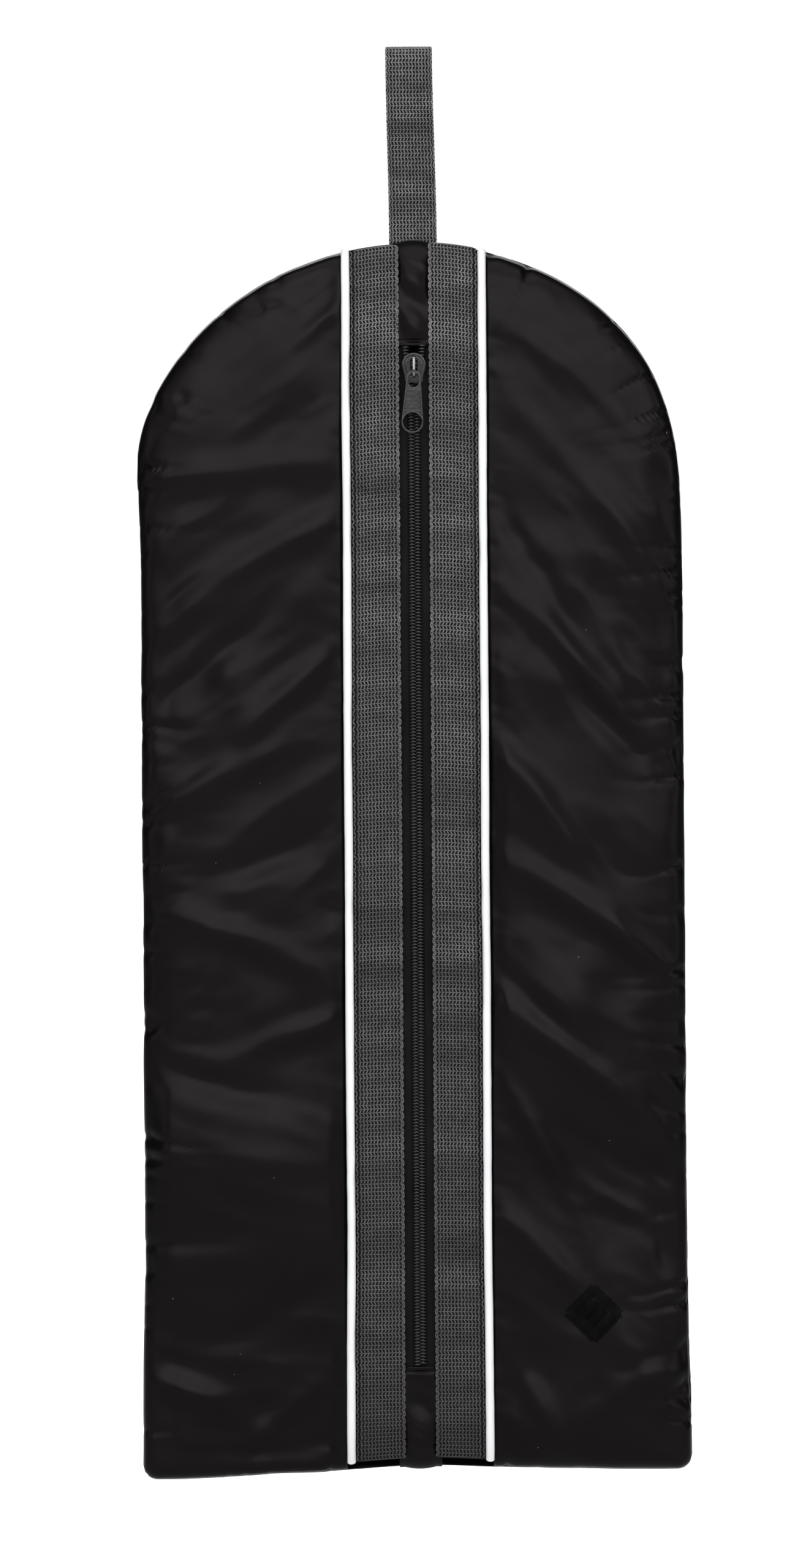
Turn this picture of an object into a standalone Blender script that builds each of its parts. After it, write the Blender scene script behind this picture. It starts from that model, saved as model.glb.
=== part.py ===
"""Golf shoe bag: a flat zipped fabric sleeve with an arched top, hung from a webbing loop.

Run with: blender --background --python part.py
Metres, +Z up, the front towards -Y, and +X to the right as one faces the front.
The origin is the underside of the loop's top fold, where a hook carries the bag.
All sizes below are in millimetres, and every mesh is scaled to metres when it is stored.
"""

import math

import bmesh
import bpy
from mathutils import Matrix, Vector

MM = 0.001

# ---- Driving sizes ----
BAG_WIDTH = 221.0
BAG_HEIGHT = 501.0
BAG_THICKNESS = 24.0
ARCH_HEIGHT = 96.0  # the half ellipse at the top
CORNER_RADIUS = 6.0  # the two bottom corners
LOOP_LENGTH = 79.0  # from the hook's bearing point down to the bag's top seam
WEBBING_WIDTH = 19.7
WEBBING_THICKNESS = 1.2
CENTRE_GAP = 12.0  # between the two webbing strips, where the zip shows
PIPING_DIAMETER = 3.4
ZIP_END_LENGTH = 41.0  # fabric between each end of the zip and the seam
CHAIN_WIDTH = 5.7
PULL_LENGTH = 25.05

# ---- Derived places ----
HALF_WIDTH = BAG_WIDTH / 2
FACE = BAG_THICKNESS / 2  # depth of the outer fabric's flat face from the seam plane
BAG_TOP = -LOOP_LENGTH
BAG_BOTTOM = BAG_TOP - BAG_HEIGHT
ARCH_BASE = BAG_TOP - ARCH_HEIGHT
HEM_TOP = BAG_TOP - ZIP_END_LENGTH
HEM_BOTTOM = BAG_BOTTOM + ZIP_END_LENGTH

# ---- Shape of the turned edge ----
EDGE_RADIUS = 34.0  # how far in from the seam the faces become flat
SEAM_HALF = 1.6  # half the gap between the front and back rims
EDGE_ANGLES = [math.radians(a) for a in (0, 16, 34, 53, 72, 90)]
ARCH_SEGMENTS = 20
CORNER_SEGMENTS = 2

# ---- Layers: depth of each layer's outer side from the seam plane, and its thickness ----
CLEARANCE = 0.3
OUTER_FABRIC = 0.6
PADDING = 1.5
LINING = 0.5
PADDING_FACE = FACE - OUTER_FABRIC - CLEARANCE
LINING_FACE = PADDING_FACE - PADDING - CLEARANCE
LINING_INSET = PIPING_DIAMETER + CLEARANCE  # the lining's edge clears the piping's at the seam
TAPE = 0.5
TAPE_FACE = FACE - 0.5
PATCH_FACE = TAPE_FACE + CLEARANCE + OUTER_FABRIC
WEBBING_FACE = PATCH_FACE + CLEARANCE + WEBBING_THICKNESS
COIL_FACE = TAPE_FACE + CLEARANCE + 2.0

# ---- Widths across the front, measured from the centre line ----
WEBBING_INNER = CENTRE_GAP / 2
WEBBING_OUTER = WEBBING_INNER + WEBBING_WIDTH
PIPING_CENTRE = WEBBING_OUTER + CLEARANCE + PIPING_DIAMETER / 2
PANEL_INNER = PIPING_CENTRE + PIPING_DIAMETER / 2 + CLEARANCE
FLANGE_INNER = 19.0
PATCH_HALF = 11.0
LINING_INNER = 8.5
TAPE_OUTER = 14.0

# ---- Slider and pull ----
SLIDER_TOP = HEM_TOP - 3.7
SLIDER_LENGTH = 12.0
SLIDER_TRAVEL = 398.0
PLATE = 1.0
TOP_PLATE_FACE = COIL_FACE + 0.2 + PLATE
BOTTOM_PLATE_FACE = TAPE_FACE - TAPE - CLEARANCE
PULL_DROP = 7.9  # from the slider's top end down to the pull's hinge line
PULL_FACE = TOP_PLATE_FACE + 1.1  # depth of the pull's hinge line
PULL_THICKNESS = 1.0
PULL_LEAN = math.radians(2.0)
PULL_Z = SLIDER_TOP - PULL_DROP

# ---- Loop ----
LOOP_HALF_GAP = 4.9  # inside radius at the top fold
LOOP_FOLD_Z = BAG_TOP + 1.6  # the fold line just above the seam, where the loop bends over
FOLD_RADIUS = WEBBING_THICKNESS + 0.05  # both straps together, rounded about the fold line
LOOP_FOOT_Z = LOOP_FOLD_Z + FOLD_RADIUS + CLEARANCE + 0.05

# ---- Embroidered motif on the lower right front ----
MOTIF_X = 70.5
MOTIF_Z = BAG_BOTTOM + 65.0
MOTIF_HALF = 13.0


def clear_scene():
    for obj in list(bpy.data.objects):
        bpy.data.objects.remove(obj, do_unlink=True)


def make_material(name, colour, roughness, metallic=0.0):
    material = bpy.data.materials.new(name)
    material.use_nodes = True
    shader = material.node_tree.nodes["Principled BSDF"]
    shader.inputs["Base Color"].default_value = (*colour, 1.0)
    shader.inputs["Roughness"].default_value = roughness
    shader.inputs["Metallic"].default_value = metallic
    return material


def make_body(name, place, parent=None):
    """An empty on the joint's axis, which carries the nodes of one moving body."""
    empty = bpy.data.objects.new(name + "_axis", None)
    bpy.context.scene.collection.objects.link(empty)
    world = Vector(place) * MM
    empty.location = world
    empty["world_mm"] = list(place)
    if parent is not None:
        empty.parent = parent
        empty.location = world - Vector(parent["world_mm"]) * MM
    return empty


def add_node(name, bm, material, body, smooth=40.0):
    """Stores a mesh drawn in the part's own frame, in millimetres, under its body."""
    bmesh.ops.recalc_face_normals(bm, faces=bm.faces[:])
    bmesh.ops.translate(bm, verts=bm.verts[:], vec=-Vector(body["world_mm"]))
    bmesh.ops.scale(bm, verts=bm.verts[:], vec=(MM, MM, MM))
    mesh = bpy.data.meshes.new(name)
    bm.to_mesh(mesh)
    bm.free()
    mesh.shade_smooth()
    mesh.set_sharp_from_angle(angle=math.radians(smooth))
    mesh.materials.append(material)
    obj = bpy.data.objects.new(name, mesh)
    bpy.context.scene.collection.objects.link(obj)
    obj.parent = body
    return obj


def boolean(target, tool, operation):
    tool.hide_render = True
    tool.display_type = "WIRE"
    modifier = target.modifiers.new(operation.lower(), "BOOLEAN")
    modifier.operation = operation
    modifier.object = tool
    modifier.solver = "EXACT"


# ---- Mesh helpers ----


def loft(rings):
    """A closed solid through rings of points, with a flat cap at each end."""
    bm = bmesh.new()
    rows = [[bm.verts.new(point) for point in ring] for ring in rings]
    count = len(rows[0])
    for row, following in zip(rows, rows[1:]):
        for i in range(count):
            j = (i + 1) % count
            bm.faces.new((row[i], row[j], following[j], following[i]))
    bm.faces.new(rows[0])
    bm.faces.new(rows[-1])
    return bm


def prism(outline, near, far):
    """An outline of (x, z) points extruded through the bag's depth, from depth near to far."""
    return loft([[(x, -depth, z) for x, z in outline] for depth in (near, far)])


def mirrored(points, side):
    return [(side * p[0], *p[1:]) for p in points]


def arc(centre, radius, start, end, segments):
    """Points on a circle from start to end degrees."""
    steps = [math.radians(start + (end - start) * i / segments) for i in range(segments + 1)]
    return [(centre[0] + radius * math.cos(a), centre[1] + radius * math.sin(a)) for a in steps]


# ---- The bag's rounded form ----


def outline(inset):
    """The bag's outline seen from the front, moved in from the seam by inset."""
    half = HALF_WIDTH - inset
    rise = ARCH_HEIGHT - inset
    floor = BAG_BOTTOM + inset + CORNER_RADIUS
    side = half - CORNER_RADIUS
    angles = [math.pi * i / ARCH_SEGMENTS for i in range(ARCH_SEGMENTS + 1)]
    points = [(half * math.cos(a), ARCH_BASE + rise * math.sin(a)) for a in angles]
    points += arc((-side, floor), CORNER_RADIUS, 180, 270, CORNER_SEGMENTS)
    points += arc((side, floor), CORNER_RADIUS, 270, 360, CORNER_SEGMENTS)
    return points


def turned(angle, inset, face):
    """How far in from the seam, and how deep, the turned edge is at an angle round it."""
    reach = inset + (EDGE_RADIUS - inset) * (1 - math.cos(angle))
    depth = SEAM_HALF + (face - SEAM_HALF) * math.sin(angle)
    return reach, depth


def shell(side, face, thickness, inset):
    """One dished layer of the front (side -1) or the back (side 1)."""
    rings = []
    skins = ((reversed(EDGE_ANGLES), 0.0), (EDGE_ANGLES, thickness))
    for angles, offset in skins:
        for angle in angles:
            reach, depth = turned(angle, inset + offset, face - offset)
            rings.append([(x, side * depth, z) for x, z in outline(reach)])
    return loft(rings)


def clipped(bm, inner, side):
    """Keeps what lies further from the centre line than inner, on one side, and closes the cut."""
    bmesh.ops.bisect_plane(
        bm,
        geom=bm.verts[:] + bm.edges[:] + bm.faces[:],
        plane_co=(side * inner, 0, 0),
        plane_no=(side, 0, 0),
        clear_inner=True,
    )
    rim = [edge for edge in bm.edges if edge.is_boundary]
    bmesh.ops.holes_fill(bm, edges=rim, sides=0)
    return bm


# Stations along the front, from the top seam over the face to the bottom seam
TOP_TURN = [("top", a) for a in EDGE_ANGLES]
BOTTOM_TURN = [("bottom", a) for a in reversed(EDGE_ANGLES)]


def on_front(x, station, inset, face):
    """A point of a layer on the front: inset and face say which layer it belongs to."""
    kind, value = station
    if kind == "z":
        return x, -face, value
    reach, depth = turned(value, inset, face)
    if kind == "bottom":
        return x, -depth, BAG_BOTTOM + reach
    share = x / (HALF_WIDTH - reach)
    return x, -depth, ARCH_BASE + (ARCH_HEIGHT - reach) * math.sqrt(1 - share * share)


def band(section, stations):
    """A strip that follows the front. section holds (x, inset, face) round its edge."""
    return loft([[on_front(x, at, inset, face) for x, inset, face in section] for at in stations])


def flat_section(inner, outer, inset, face, thickness):
    """A flat strip's section, from inner to outer, with its front at face."""
    low_inset = inset + thickness
    low_face = face - thickness
    return [
        (inner, inset, face),
        (outer, inset, face),
        (outer, low_inset, low_face),
        (inner, low_inset, low_face),
    ]


# ---- Fabric panels ----


def make_panels(bag, fabric, wadding, lining):
    layers = (
        ("panel", FACE, 0.0, OUTER_FABRIC, PANEL_INNER, fabric),
        ("padding", PADDING_FACE, FACE - PADDING_FACE, PADDING, PANEL_INNER, wadding),
        ("lining", LINING_FACE, LINING_INSET, LINING, LINING_INNER, lining),
    )
    for label, face, inset, thickness, inner, material in layers:
        add_node("back_" + label, shell(1, face, thickness, inset), material, bag)
        for side, word in ((-1, "left"), (1, "right")):
            half = clipped(shell(-1, face, thickness, inset), inner, side)
            add_node(f"front_{label}_{word}", half, material, bag)


def make_perimeter_seam(bag, material):
    """The sewn and bound seam allowance between the front and back rims, open at the loop."""
    outer_reach, inner_reach = 0.8, 10.0
    half = SEAM_HALF - CLEARANCE
    start = WEBBING_WIDTH / 2 + CLEARANCE
    outer = outline(outer_reach)
    inner = outline(inner_reach)
    crown = ARCH_SEGMENTS // 2
    order = list(range(crown + 1, len(outer))) + list(range(crown))
    rings = []

    def cross(out_point, in_point):
        return [
            (out_point[0], -half, out_point[1]),
            (out_point[0], half, out_point[1]),
            (in_point[0], half, in_point[1]),
            (in_point[0], -half, in_point[1]),
        ]

    def end(side):
        points = []
        for reach in (outer_reach, inner_reach):
            share = start / (HALF_WIDTH - reach)
            rise = (ARCH_HEIGHT - reach) * math.sqrt(1 - share * share)
            points.append((side * start, ARCH_BASE + rise))
        return cross(*points)

    rings.append(end(-1))
    rings += [cross(outer[i], inner[i]) for i in order]
    rings.append(end(1))
    add_node("perimeter_seam", loft(rings), material, bag)


# ---- Centre strips, piping and patches ----


def make_centre(bag, webbing, white, cord, fabric):
    run = TOP_TURN + BOTTOM_TURN
    piping_face = FACE + 0.4
    piping_inset = PIPING_DIAMETER / 2
    for side, word in ((-1, "left"), (1, "right")):
        strip = flat_section(WEBBING_INNER, WEBBING_OUTER, 0.0, WEBBING_FACE, WEBBING_THICKNESS)
        add_node(f"webbing_strip_{word}", band(mirrored(strip, side), run), webbing, bag)

        cover = piping_cover_section(piping_inset, piping_face)
        add_node(f"piping_cover_{word}", band(mirrored(cover, side), run), white, bag)

        radius = PIPING_DIAMETER / 2 - 0.75
        core = [
            (PIPING_CENTRE + u, piping_inset - v, piping_face + v)
            for u, v in arc((0, 0), radius, 0, 324, 9)
        ]
        add_node(f"piping_cord_{word}", band(mirrored(core, side), run), cord, bag)

    patch_inset = WEBBING_FACE - PATCH_FACE
    patch = flat_section(-PATCH_HALF, PATCH_HALF, patch_inset, PATCH_FACE, OUTER_FABRIC)
    ends = (
        ("top", TOP_TURN + [("z", HEM_TOP)]),
        ("bottom", [("z", HEM_BOTTOM)] + BOTTOM_TURN),
    )
    for word, stations in ends:
        add_node(f"zip_end_patch_{word}", band(patch, stations), fabric, bag)


def piping_cover_section(inset, face):
    """A strip folded round the cord, with its two edges together as a flange under the webbing."""
    outer_radius = PIPING_DIAMETER / 2
    inner_radius = outer_radius - 0.4
    middle = PATCH_FACE - 0.55 - face  # the flange's height, measured from the cord's centre
    slit = 0.15  # half the space between the two flange layers
    outside = 0.55  # from the flange's middle to its outer sides
    flange = FLANGE_INNER - PIPING_CENTRE

    def meets(radius, height):
        """The angle, below the horizontal, at which a circle reaches a height on its left."""
        return math.degrees(math.asin(-height / radius))

    points = [(flange, middle + outside)]
    points += arc(
        (0, 0),
        outer_radius,
        180 + meets(outer_radius, middle + outside),
        meets(outer_radius, middle - outside) - 180,
        12,
    )
    points += [(flange, middle - outside), (flange, middle - slit)]
    points += arc(
        (0, 0),
        inner_radius,
        meets(inner_radius, middle - slit) - 180,
        180 + meets(inner_radius, middle + slit),
        12,
    )
    points += [(flange, middle + slit)]
    return [(PIPING_CENTRE + u, inset - v, face + v) for u, v in points]


def make_motif(bag, thread):
    """A raised embroidered lozenge."""
    corners = [(MOTIF_HALF, 0), (0, MOTIF_HALF), (-MOTIF_HALF, 0), (0, -MOTIF_HALF)]
    points = [(MOTIF_X + u, MOTIF_Z + v) for u, v in corners]
    bm = prism(points, FACE + CLEARANCE, FACE + CLEARANCE + 0.6)
    add_node("embroidered_motif", bm, thread, bag)


# ---- Zip ----


def spread(z):
    """How far each side of the zip leans out from the middle beside the slider at rest."""
    low = SLIDER_TOP - 9.0
    share = min(1.0, max(0.0, (z - low) / (SLIDER_TOP - low)))
    return 2.15 * share * share * (3 - 2 * share)


def zip_stations(top, bottom):
    near_slider = [SLIDER_TOP + 1.0 - i * 1.25 for i in range(9)]
    return [top] + [z for z in near_slider if z < top] + [bottom]


def make_zip(lips, tape, nylon):
    chain_half = CHAIN_WIDTH / 2
    tape_stations = zip_stations(HEM_TOP + 5.5, HEM_BOTTOM - 5.5)
    coil_stations = zip_stations(HEM_TOP - CLEARANCE, HEM_BOTTOM + CLEARANCE)
    low = TAPE_FACE + CLEARANCE
    coil = [
        (0.1, low + 0.5),
        (0.5, low),
        (chain_half - 0.7, low),
        (chain_half, low + 0.7),
        (chain_half, COIL_FACE - 0.6),
        (chain_half - 0.6, COIL_FACE),
        (0.7, COIL_FACE),
        (0.1, COIL_FACE - 0.5),
    ]
    for side, word in ((-1, "left"), (1, "right")):
        rings = [
            [(side * (x + spread(z)), -face, z) for x, face in coil] for z in coil_stations
        ]
        add_node(f"zip_coil_{word}", loft(rings), nylon, lips[side])
        rings = []
        for z in tape_stations:
            inner = 0.2 + spread(z)
            edge = [(inner, TAPE_FACE), (TAPE_OUTER, TAPE_FACE)]
            edge += [(x, TAPE_FACE - TAPE) for x, _ in reversed(edge)]
            rings.append([(side * x, -face, z) for x, face in edge])
        add_node(f"zip_tape_{word}", loft(rings), tape, lips[side])


def both_sides(half_outline):
    """A symmetrical outline from its right half, given as (x, distance below the slider's top)."""
    right = [(x, SLIDER_TOP - drop) for x, drop in half_outline]
    return right + [(-x, z) for x, z in reversed(right)]


def make_slider(slider, metal):
    plate = both_sides(
        [(1.3, 0), (3.7, 1.5), (4.75, 4.4), (4.45, 6.5), (3.7, 9.0), (3.65, 11.5), (3.0, SLIDER_LENGTH)]
    )
    post = both_sides([(0.4, 0.9), (1.5, 2.2), (0.8, 5.0), (0.2, 6.6)])
    flange = [(4.6, 5.0), (4.35, 6.5), (3.6, 9.0), (3.6, 11.4), (3.05, 11.4), (3.05, 9.0), (3.85, 6.5), (4.15, 5.0)]
    under_top = TOP_PLATE_FACE - PLATE
    bite = 0.2  # how far joined shapes reach into each other
    body = add_node("slider_body", prism(plate, under_top, TOP_PLATE_FACE), metal, slider)
    low_plate = prism(plate, BOTTOM_PLATE_FACE - PLATE + bite, BOTTOM_PLATE_FACE)
    tools = [("lower_plate", low_plate), ("post", prism(post, BOTTOM_PLATE_FACE - bite, under_top + bite))]
    for side, word in ((-1, "left"), (1, "right")):
        outline_points = [(side * x, SLIDER_TOP - drop) for x, drop in flange]
        tools.append((f"flange_{word}", prism(outline_points, TAPE_FACE + CLEARANCE, under_top + bite)))
    for word, bm in tools:
        tool = add_node(f"slider_{word}_tool", bm, metal, slider)
        boolean(body, tool, "UNION")


def make_bridge(slider, metal):
    """The arch on the slider that holds the pull: a bent bar with its feet on the top plate."""
    half_width = 0.9
    half_bar = 0.5
    foot = TOP_PLATE_FACE + 0.2
    crown = TOP_PLATE_FACE + 2.7
    line = [
        (9.6, foot),
        (9.6, crown - 1.1),
        (9.3, crown - 0.35),
        (8.5, crown),
        (2.8, crown),
        (2.0, crown - 0.35),
        (1.7, crown - 1.1),
        (1.7, foot),
    ]
    rings = []
    for i, point in enumerate(line):
        here = Vector(point)
        before = Vector(line[max(i - 1, 0)])
        after = Vector(line[min(i + 1, len(line) - 1)])
        along = (after - before).normalized()
        out = Vector((along.y, -along.x)) * half_bar
        ring = []
        for sign_x, sign_out in ((-1, -1), (1, -1), (1, 1), (-1, 1)):
            drop, depth = here + out * sign_out
            ring.append((half_width * sign_x, -depth, SLIDER_TOP - drop))
        rings.append(ring)
    add_node("slider_bridge", loft(rings), metal, slider)


def make_pull(pull, metal):
    """The pull tab, drawn hanging: an eye at its top, round the bridge, and a finger hole below."""
    eye_top = 0.85
    top_radius = 2.95
    tip_radius = 4.5
    tip_centre = PULL_LENGTH - eye_top - tip_radius
    segments = 10

    def hung(points):
        """Turns (x, distance below the hinge) points by the pull's slight lean."""
        turn = Matrix.Rotation(-PULL_LEAN, 2)
        leaned = [turn @ Vector((x, -drop)) for x, drop in points]
        return [(p.x, PULL_Z + p.y) for p in leaned]

    front = PULL_FACE + PULL_THICKNESS / 2
    back = PULL_FACE - PULL_THICKNESS / 2
    plate = arc((0, top_radius - eye_top), top_radius, 180, 360, segments)
    plate += arc((0, tip_centre), tip_radius, 0, 180, segments)
    body = add_node("pull_tab", prism(hung(plate), back, front), metal, pull)

    corner = 1.0
    half = 1.9
    eye_low = 5.95
    eye = arc((half - corner, eye_top + corner), corner, 270, 360, 3)
    eye += arc((half - corner, eye_low - corner), corner, 0, 90, 3)
    eye += arc((corner - half, eye_low - corner), corner, 90, 180, 3)
    eye += arc((corner - half, eye_top + corner), corner, 180, 270, 3)
    hole = arc((0, 20.1), 3.5, 0, 342, 19)
    for word, shape in (("eye", eye), ("hole", hole)):
        cutter = add_node(f"pull_{word}_cutter", prism(hung(shape), back - 1, front + 1), metal, pull)
        boolean(body, cutter, "DIFFERENCE")


# ---- Loop ----


def loop_half_width(z):
    """The loop's middle line, as a distance from the seam plane, at a height."""
    base = WEBBING_THICKNESS / 2 + 0.15
    widest = LOOP_HALF_GAP + WEBBING_THICKNESS / 2
    low = LOOP_FOOT_Z
    high = -LOOP_HALF_GAP
    share = min(1.0, max(0.0, (z - low) / (high - low)))
    return base + (widest - base) * math.sin(share * math.pi / 2) ** 1.3


def make_loop(loop, webbing):
    """The strap above the fold line: up the front, over the top and down the back."""
    steps = 8
    half_x = WEBBING_WIDTH / 2 - 0.1
    heights = [LOOP_FOOT_Z + (-LOOP_HALF_GAP - LOOP_FOOT_Z) * i / steps for i in range(steps + 1)]
    line = [(-loop_half_width(z), z) for z in heights]
    radius = LOOP_HALF_GAP + WEBBING_THICKNESS / 2
    line += arc((0, -LOOP_HALF_GAP), radius, 180, 0, 10)[1:-1]
    line += [(-y, z) for y, z in reversed(line[: steps + 1])]
    rings = []
    for i, (y, z) in enumerate(line):
        before = Vector(line[max(i - 1, 0)])
        after = Vector(line[min(i + 1, len(line) - 1)])
        along = (after - before).normalized()
        if i in (0, len(line) - 1):
            along = Vector((0, 1 if i == 0 else -1))
        out = Vector((-along.y, along.x)) * WEBBING_THICKNESS / 2
        corners = ((-half_x, 1), (half_x, 1), (half_x, -1), (-half_x, -1))
        rings.append([(x, y + out.x * s, z + out.y * s) for x, s in corners])
    add_node("hang_loop", loft(rings), webbing, loop)


def make_loop_tail(bag, webbing):
    """The two ends of the strap, laid together and sewn into the top seam."""
    half_x = WEBBING_WIDTH / 2 - 0.1
    bottom = BAG_TOP - 12.0
    side = arc((0, LOOP_FOLD_Z), FOLD_RADIUS, 0, 180, 8)
    side += [(-FOLD_RADIUS, bottom), (FOLD_RADIUS, bottom)]
    add_node("loop_tail", loft([[(x, y, z) for y, z in side] for x in (-half_x, half_x)]), webbing, bag)


def main():
    clear_scene()
    fabric = make_material("black_satin", (0.016, 0.015, 0.016), 0.45)
    wadding = make_material("wadding", (0.75, 0.75, 0.73), 0.95)
    lining = make_material("lining", (0.02, 0.02, 0.021), 0.6)
    webbing = make_material("grey_webbing", (0.11, 0.11, 0.115), 0.8)
    white = make_material("white_piping", (0.86, 0.86, 0.87), 0.5)
    cord = make_material("piping_cord", (0.8, 0.79, 0.76), 0.9)
    binding = make_material("binding", (0.03, 0.03, 0.03), 0.8)
    tape = make_material("zip_tape", (0.012, 0.012, 0.012), 0.75)
    nylon = make_material("zip_nylon", (0.02, 0.02, 0.02), 0.35)
    metal = make_material("black_metal", (0.03, 0.03, 0.032), 0.3, 0.8)
    thread = make_material("black_thread", (0.008, 0.008, 0.008), 0.55)

    loop = make_body("hang_loop", (0, 0, 0))
    bag = make_body("bag", (0, 0, LOOP_FOLD_Z), loop)
    slider = make_body("slider", (0, -TOP_PLATE_FACE, SLIDER_TOP), bag)
    pull = make_body("pull", (0, -PULL_FACE, PULL_Z), slider)
    lips = {
        side: make_body(f"zip_lip_{word}", (0, -TAPE_FACE, HEM_TOP), bag)
        for side, word in ((-1, "left"), (1, "right"))
    }

    make_loop(loop, webbing)
    make_loop_tail(bag, webbing)
    make_panels(bag, fabric, wadding, lining)
    make_perimeter_seam(bag, binding)
    make_centre(bag, webbing, white, cord, fabric)
    make_motif(bag, thread)
    make_zip(lips, tape, nylon)
    make_slider(slider, metal)
    make_bridge(slider, metal)
    make_pull(pull, metal)


main()
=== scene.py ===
import math
import bmesh
import bpy
import numpy as np
from mathutils import Matrix, Vector
from mathutils.bvhtree import BVHTree


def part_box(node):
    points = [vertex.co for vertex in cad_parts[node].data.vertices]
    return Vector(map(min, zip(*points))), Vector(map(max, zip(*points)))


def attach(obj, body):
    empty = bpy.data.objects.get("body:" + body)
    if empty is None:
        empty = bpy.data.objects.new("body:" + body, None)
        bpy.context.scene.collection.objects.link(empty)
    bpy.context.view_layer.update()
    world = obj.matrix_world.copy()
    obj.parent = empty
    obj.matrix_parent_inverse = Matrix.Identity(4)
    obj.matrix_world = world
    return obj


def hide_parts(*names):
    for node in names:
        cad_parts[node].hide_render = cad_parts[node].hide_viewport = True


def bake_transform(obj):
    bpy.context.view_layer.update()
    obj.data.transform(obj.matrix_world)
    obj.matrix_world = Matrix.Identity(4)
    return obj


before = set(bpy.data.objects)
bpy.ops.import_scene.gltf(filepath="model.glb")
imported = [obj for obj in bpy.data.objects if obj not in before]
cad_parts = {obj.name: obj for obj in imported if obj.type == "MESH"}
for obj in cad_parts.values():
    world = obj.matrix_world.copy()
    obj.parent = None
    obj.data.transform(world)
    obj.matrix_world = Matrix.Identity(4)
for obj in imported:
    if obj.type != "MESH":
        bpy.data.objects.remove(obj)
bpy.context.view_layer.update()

mm = 0.001  # sizes in the dictionaries are in millimetres unless they say otherwise

# the bag's form, read from the frame; the front faces -Y
backLow, backHigh = (np.array(corner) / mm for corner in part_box("back_panel"))
bagForm = {
    "halfWidth": backHigh[0],
    "top": backHigh[2],
    "bottom": backLow[2],
    "face": backHigh[1],
    "archRise": 96.0,
    "archRadius": 103.0,  # its mean, for distances round the arch
    "cornerRadius": 6.0,
    "edgeRadius": 34.0,  # how far in from the seam the faces lie flat
    "fullness": 2.7,  # 2 gives a round edge, more a squarer one
    "seamHalf": 0.35,
    "flare": 1.5,  # the sides spread by this much towards the bottom
    "leftLean": 1.4,  # the whole outline sits this far to the left of the zip
    "archLean": 1.7,  # and this much more round the foot of the arch
    "archLeanZ": -155.0,
    "bottomTilt": 1.6,  # the bottom seam hangs lower on the left
    "footRise": 2.3,  # and the zip draws its middle up
    "footSag": 1.2,
    "pipingAt": 27.7,
    "pipingWander": 0.35,
}


# shared helpers
def smoothStep(value, low, high):
    share = np.clip((value - low) / (high - low), 0, 1)
    return share * share * (3 - 2 * share)


def patchNoise(u, v, seed):
    # smooth random hills about one unit apart, from -1 to 1
    table = np.random.default_rng(seed).uniform(-1, 1, (256, 256))
    u, v = np.broadcast_arrays(np.asarray(u, float), np.asarray(v, float))
    i, j = np.floor(u).astype(int), np.floor(v).astype(int)
    a, b = u - i, v - j
    a, b = a * a * (3 - 2 * a), b * b * (3 - 2 * b)
    low = table[i % 256, j % 256] * (1 - a) + table[(i + 1) % 256, j % 256] * a
    high = table[i % 256, (j + 1) % 256] * (1 - a) + table[(i + 1) % 256, (j + 1) % 256] * a
    return low * (1 - b) + high * b


def topEdge(x):
    form = bagForm
    share = np.clip(np.abs(x) / form["halfWidth"], 0, 1)
    return form["top"] - form["archRise"] * (1 - np.sqrt(1 - share * share))


def bottomEdge(x):
    form = bagForm
    past = np.clip(np.abs(x) - (form["halfWidth"] - form["cornerRadius"]), 0, form["cornerRadius"])
    return form["bottom"] + form["cornerRadius"] - np.sqrt(form["cornerRadius"] ** 2 - past * past)


def insetAt(x, z):
    # how far inside the bag's outline a point is
    form = bagForm
    a, b, c = form["halfWidth"], form["archRise"], form["cornerRadius"]
    base = form["top"] - b
    x, z = np.broadcast_arrays(np.abs(np.asarray(x, float)), np.asarray(z, float))
    fromSide, fromBottom = a - x, z - form["bottom"]
    p, q = c - fromSide, c - fromBottom
    rounded = (-(p + q) + np.sqrt(np.maximum((p + q) ** 2 - 2 * (p * p + q * q - c * c), 0))) / 2
    inset = np.where(np.abs(fromSide - fromBottom) < c, rounded, np.minimum(fromSide, fromBottom))
    low, high = np.zeros_like(x), np.full_like(x, min(a, b) - 0.5)
    up = np.maximum(z - base, 0)
    for _ in range(26):
        middle = (low + high) / 2
        outside = (x / (a - middle)) ** 2 + (up / (b - middle)) ** 2 > 1
        high, low = np.where(outside, middle, high), np.where(outside, low, middle)
    inset = np.where(z > base, np.minimum(low, z - form["bottom"]), inset)
    return np.maximum(inset, 0)


def depthAt(x, z):
    form = bagForm
    share = np.clip(insetAt(x, z) / form["edgeRadius"], 0, 1)
    bulge = (1 - (1 - share) ** form["fullness"]) ** (1 / form["fullness"])
    return form["seamHalf"] + (form["face"] - form["seamHalf"]) * bulge


def onFace(x, z, lift, side=-1):
    # points above the front (side -1) or the back (side 1) by lift, along the face's normal
    step = 0.2
    x, z, lift = np.broadcast_arrays(np.asarray(x, float), np.asarray(z, float), np.asarray(lift, float))
    depth = depthAt(x, z)
    slopeX = (depthAt(x + step, z) - depthAt(x - step, z)) / (2 * step)
    slopeZ = (depthAt(x, z + step) - depthAt(x, z - step)) / (2 * step)
    size = np.sqrt(1 + slopeX**2 + slopeZ**2)
    out = depth + lift / size
    return np.stack([x - lift * slopeX / size, side * out, z - lift * slopeZ / size], -1)


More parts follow.
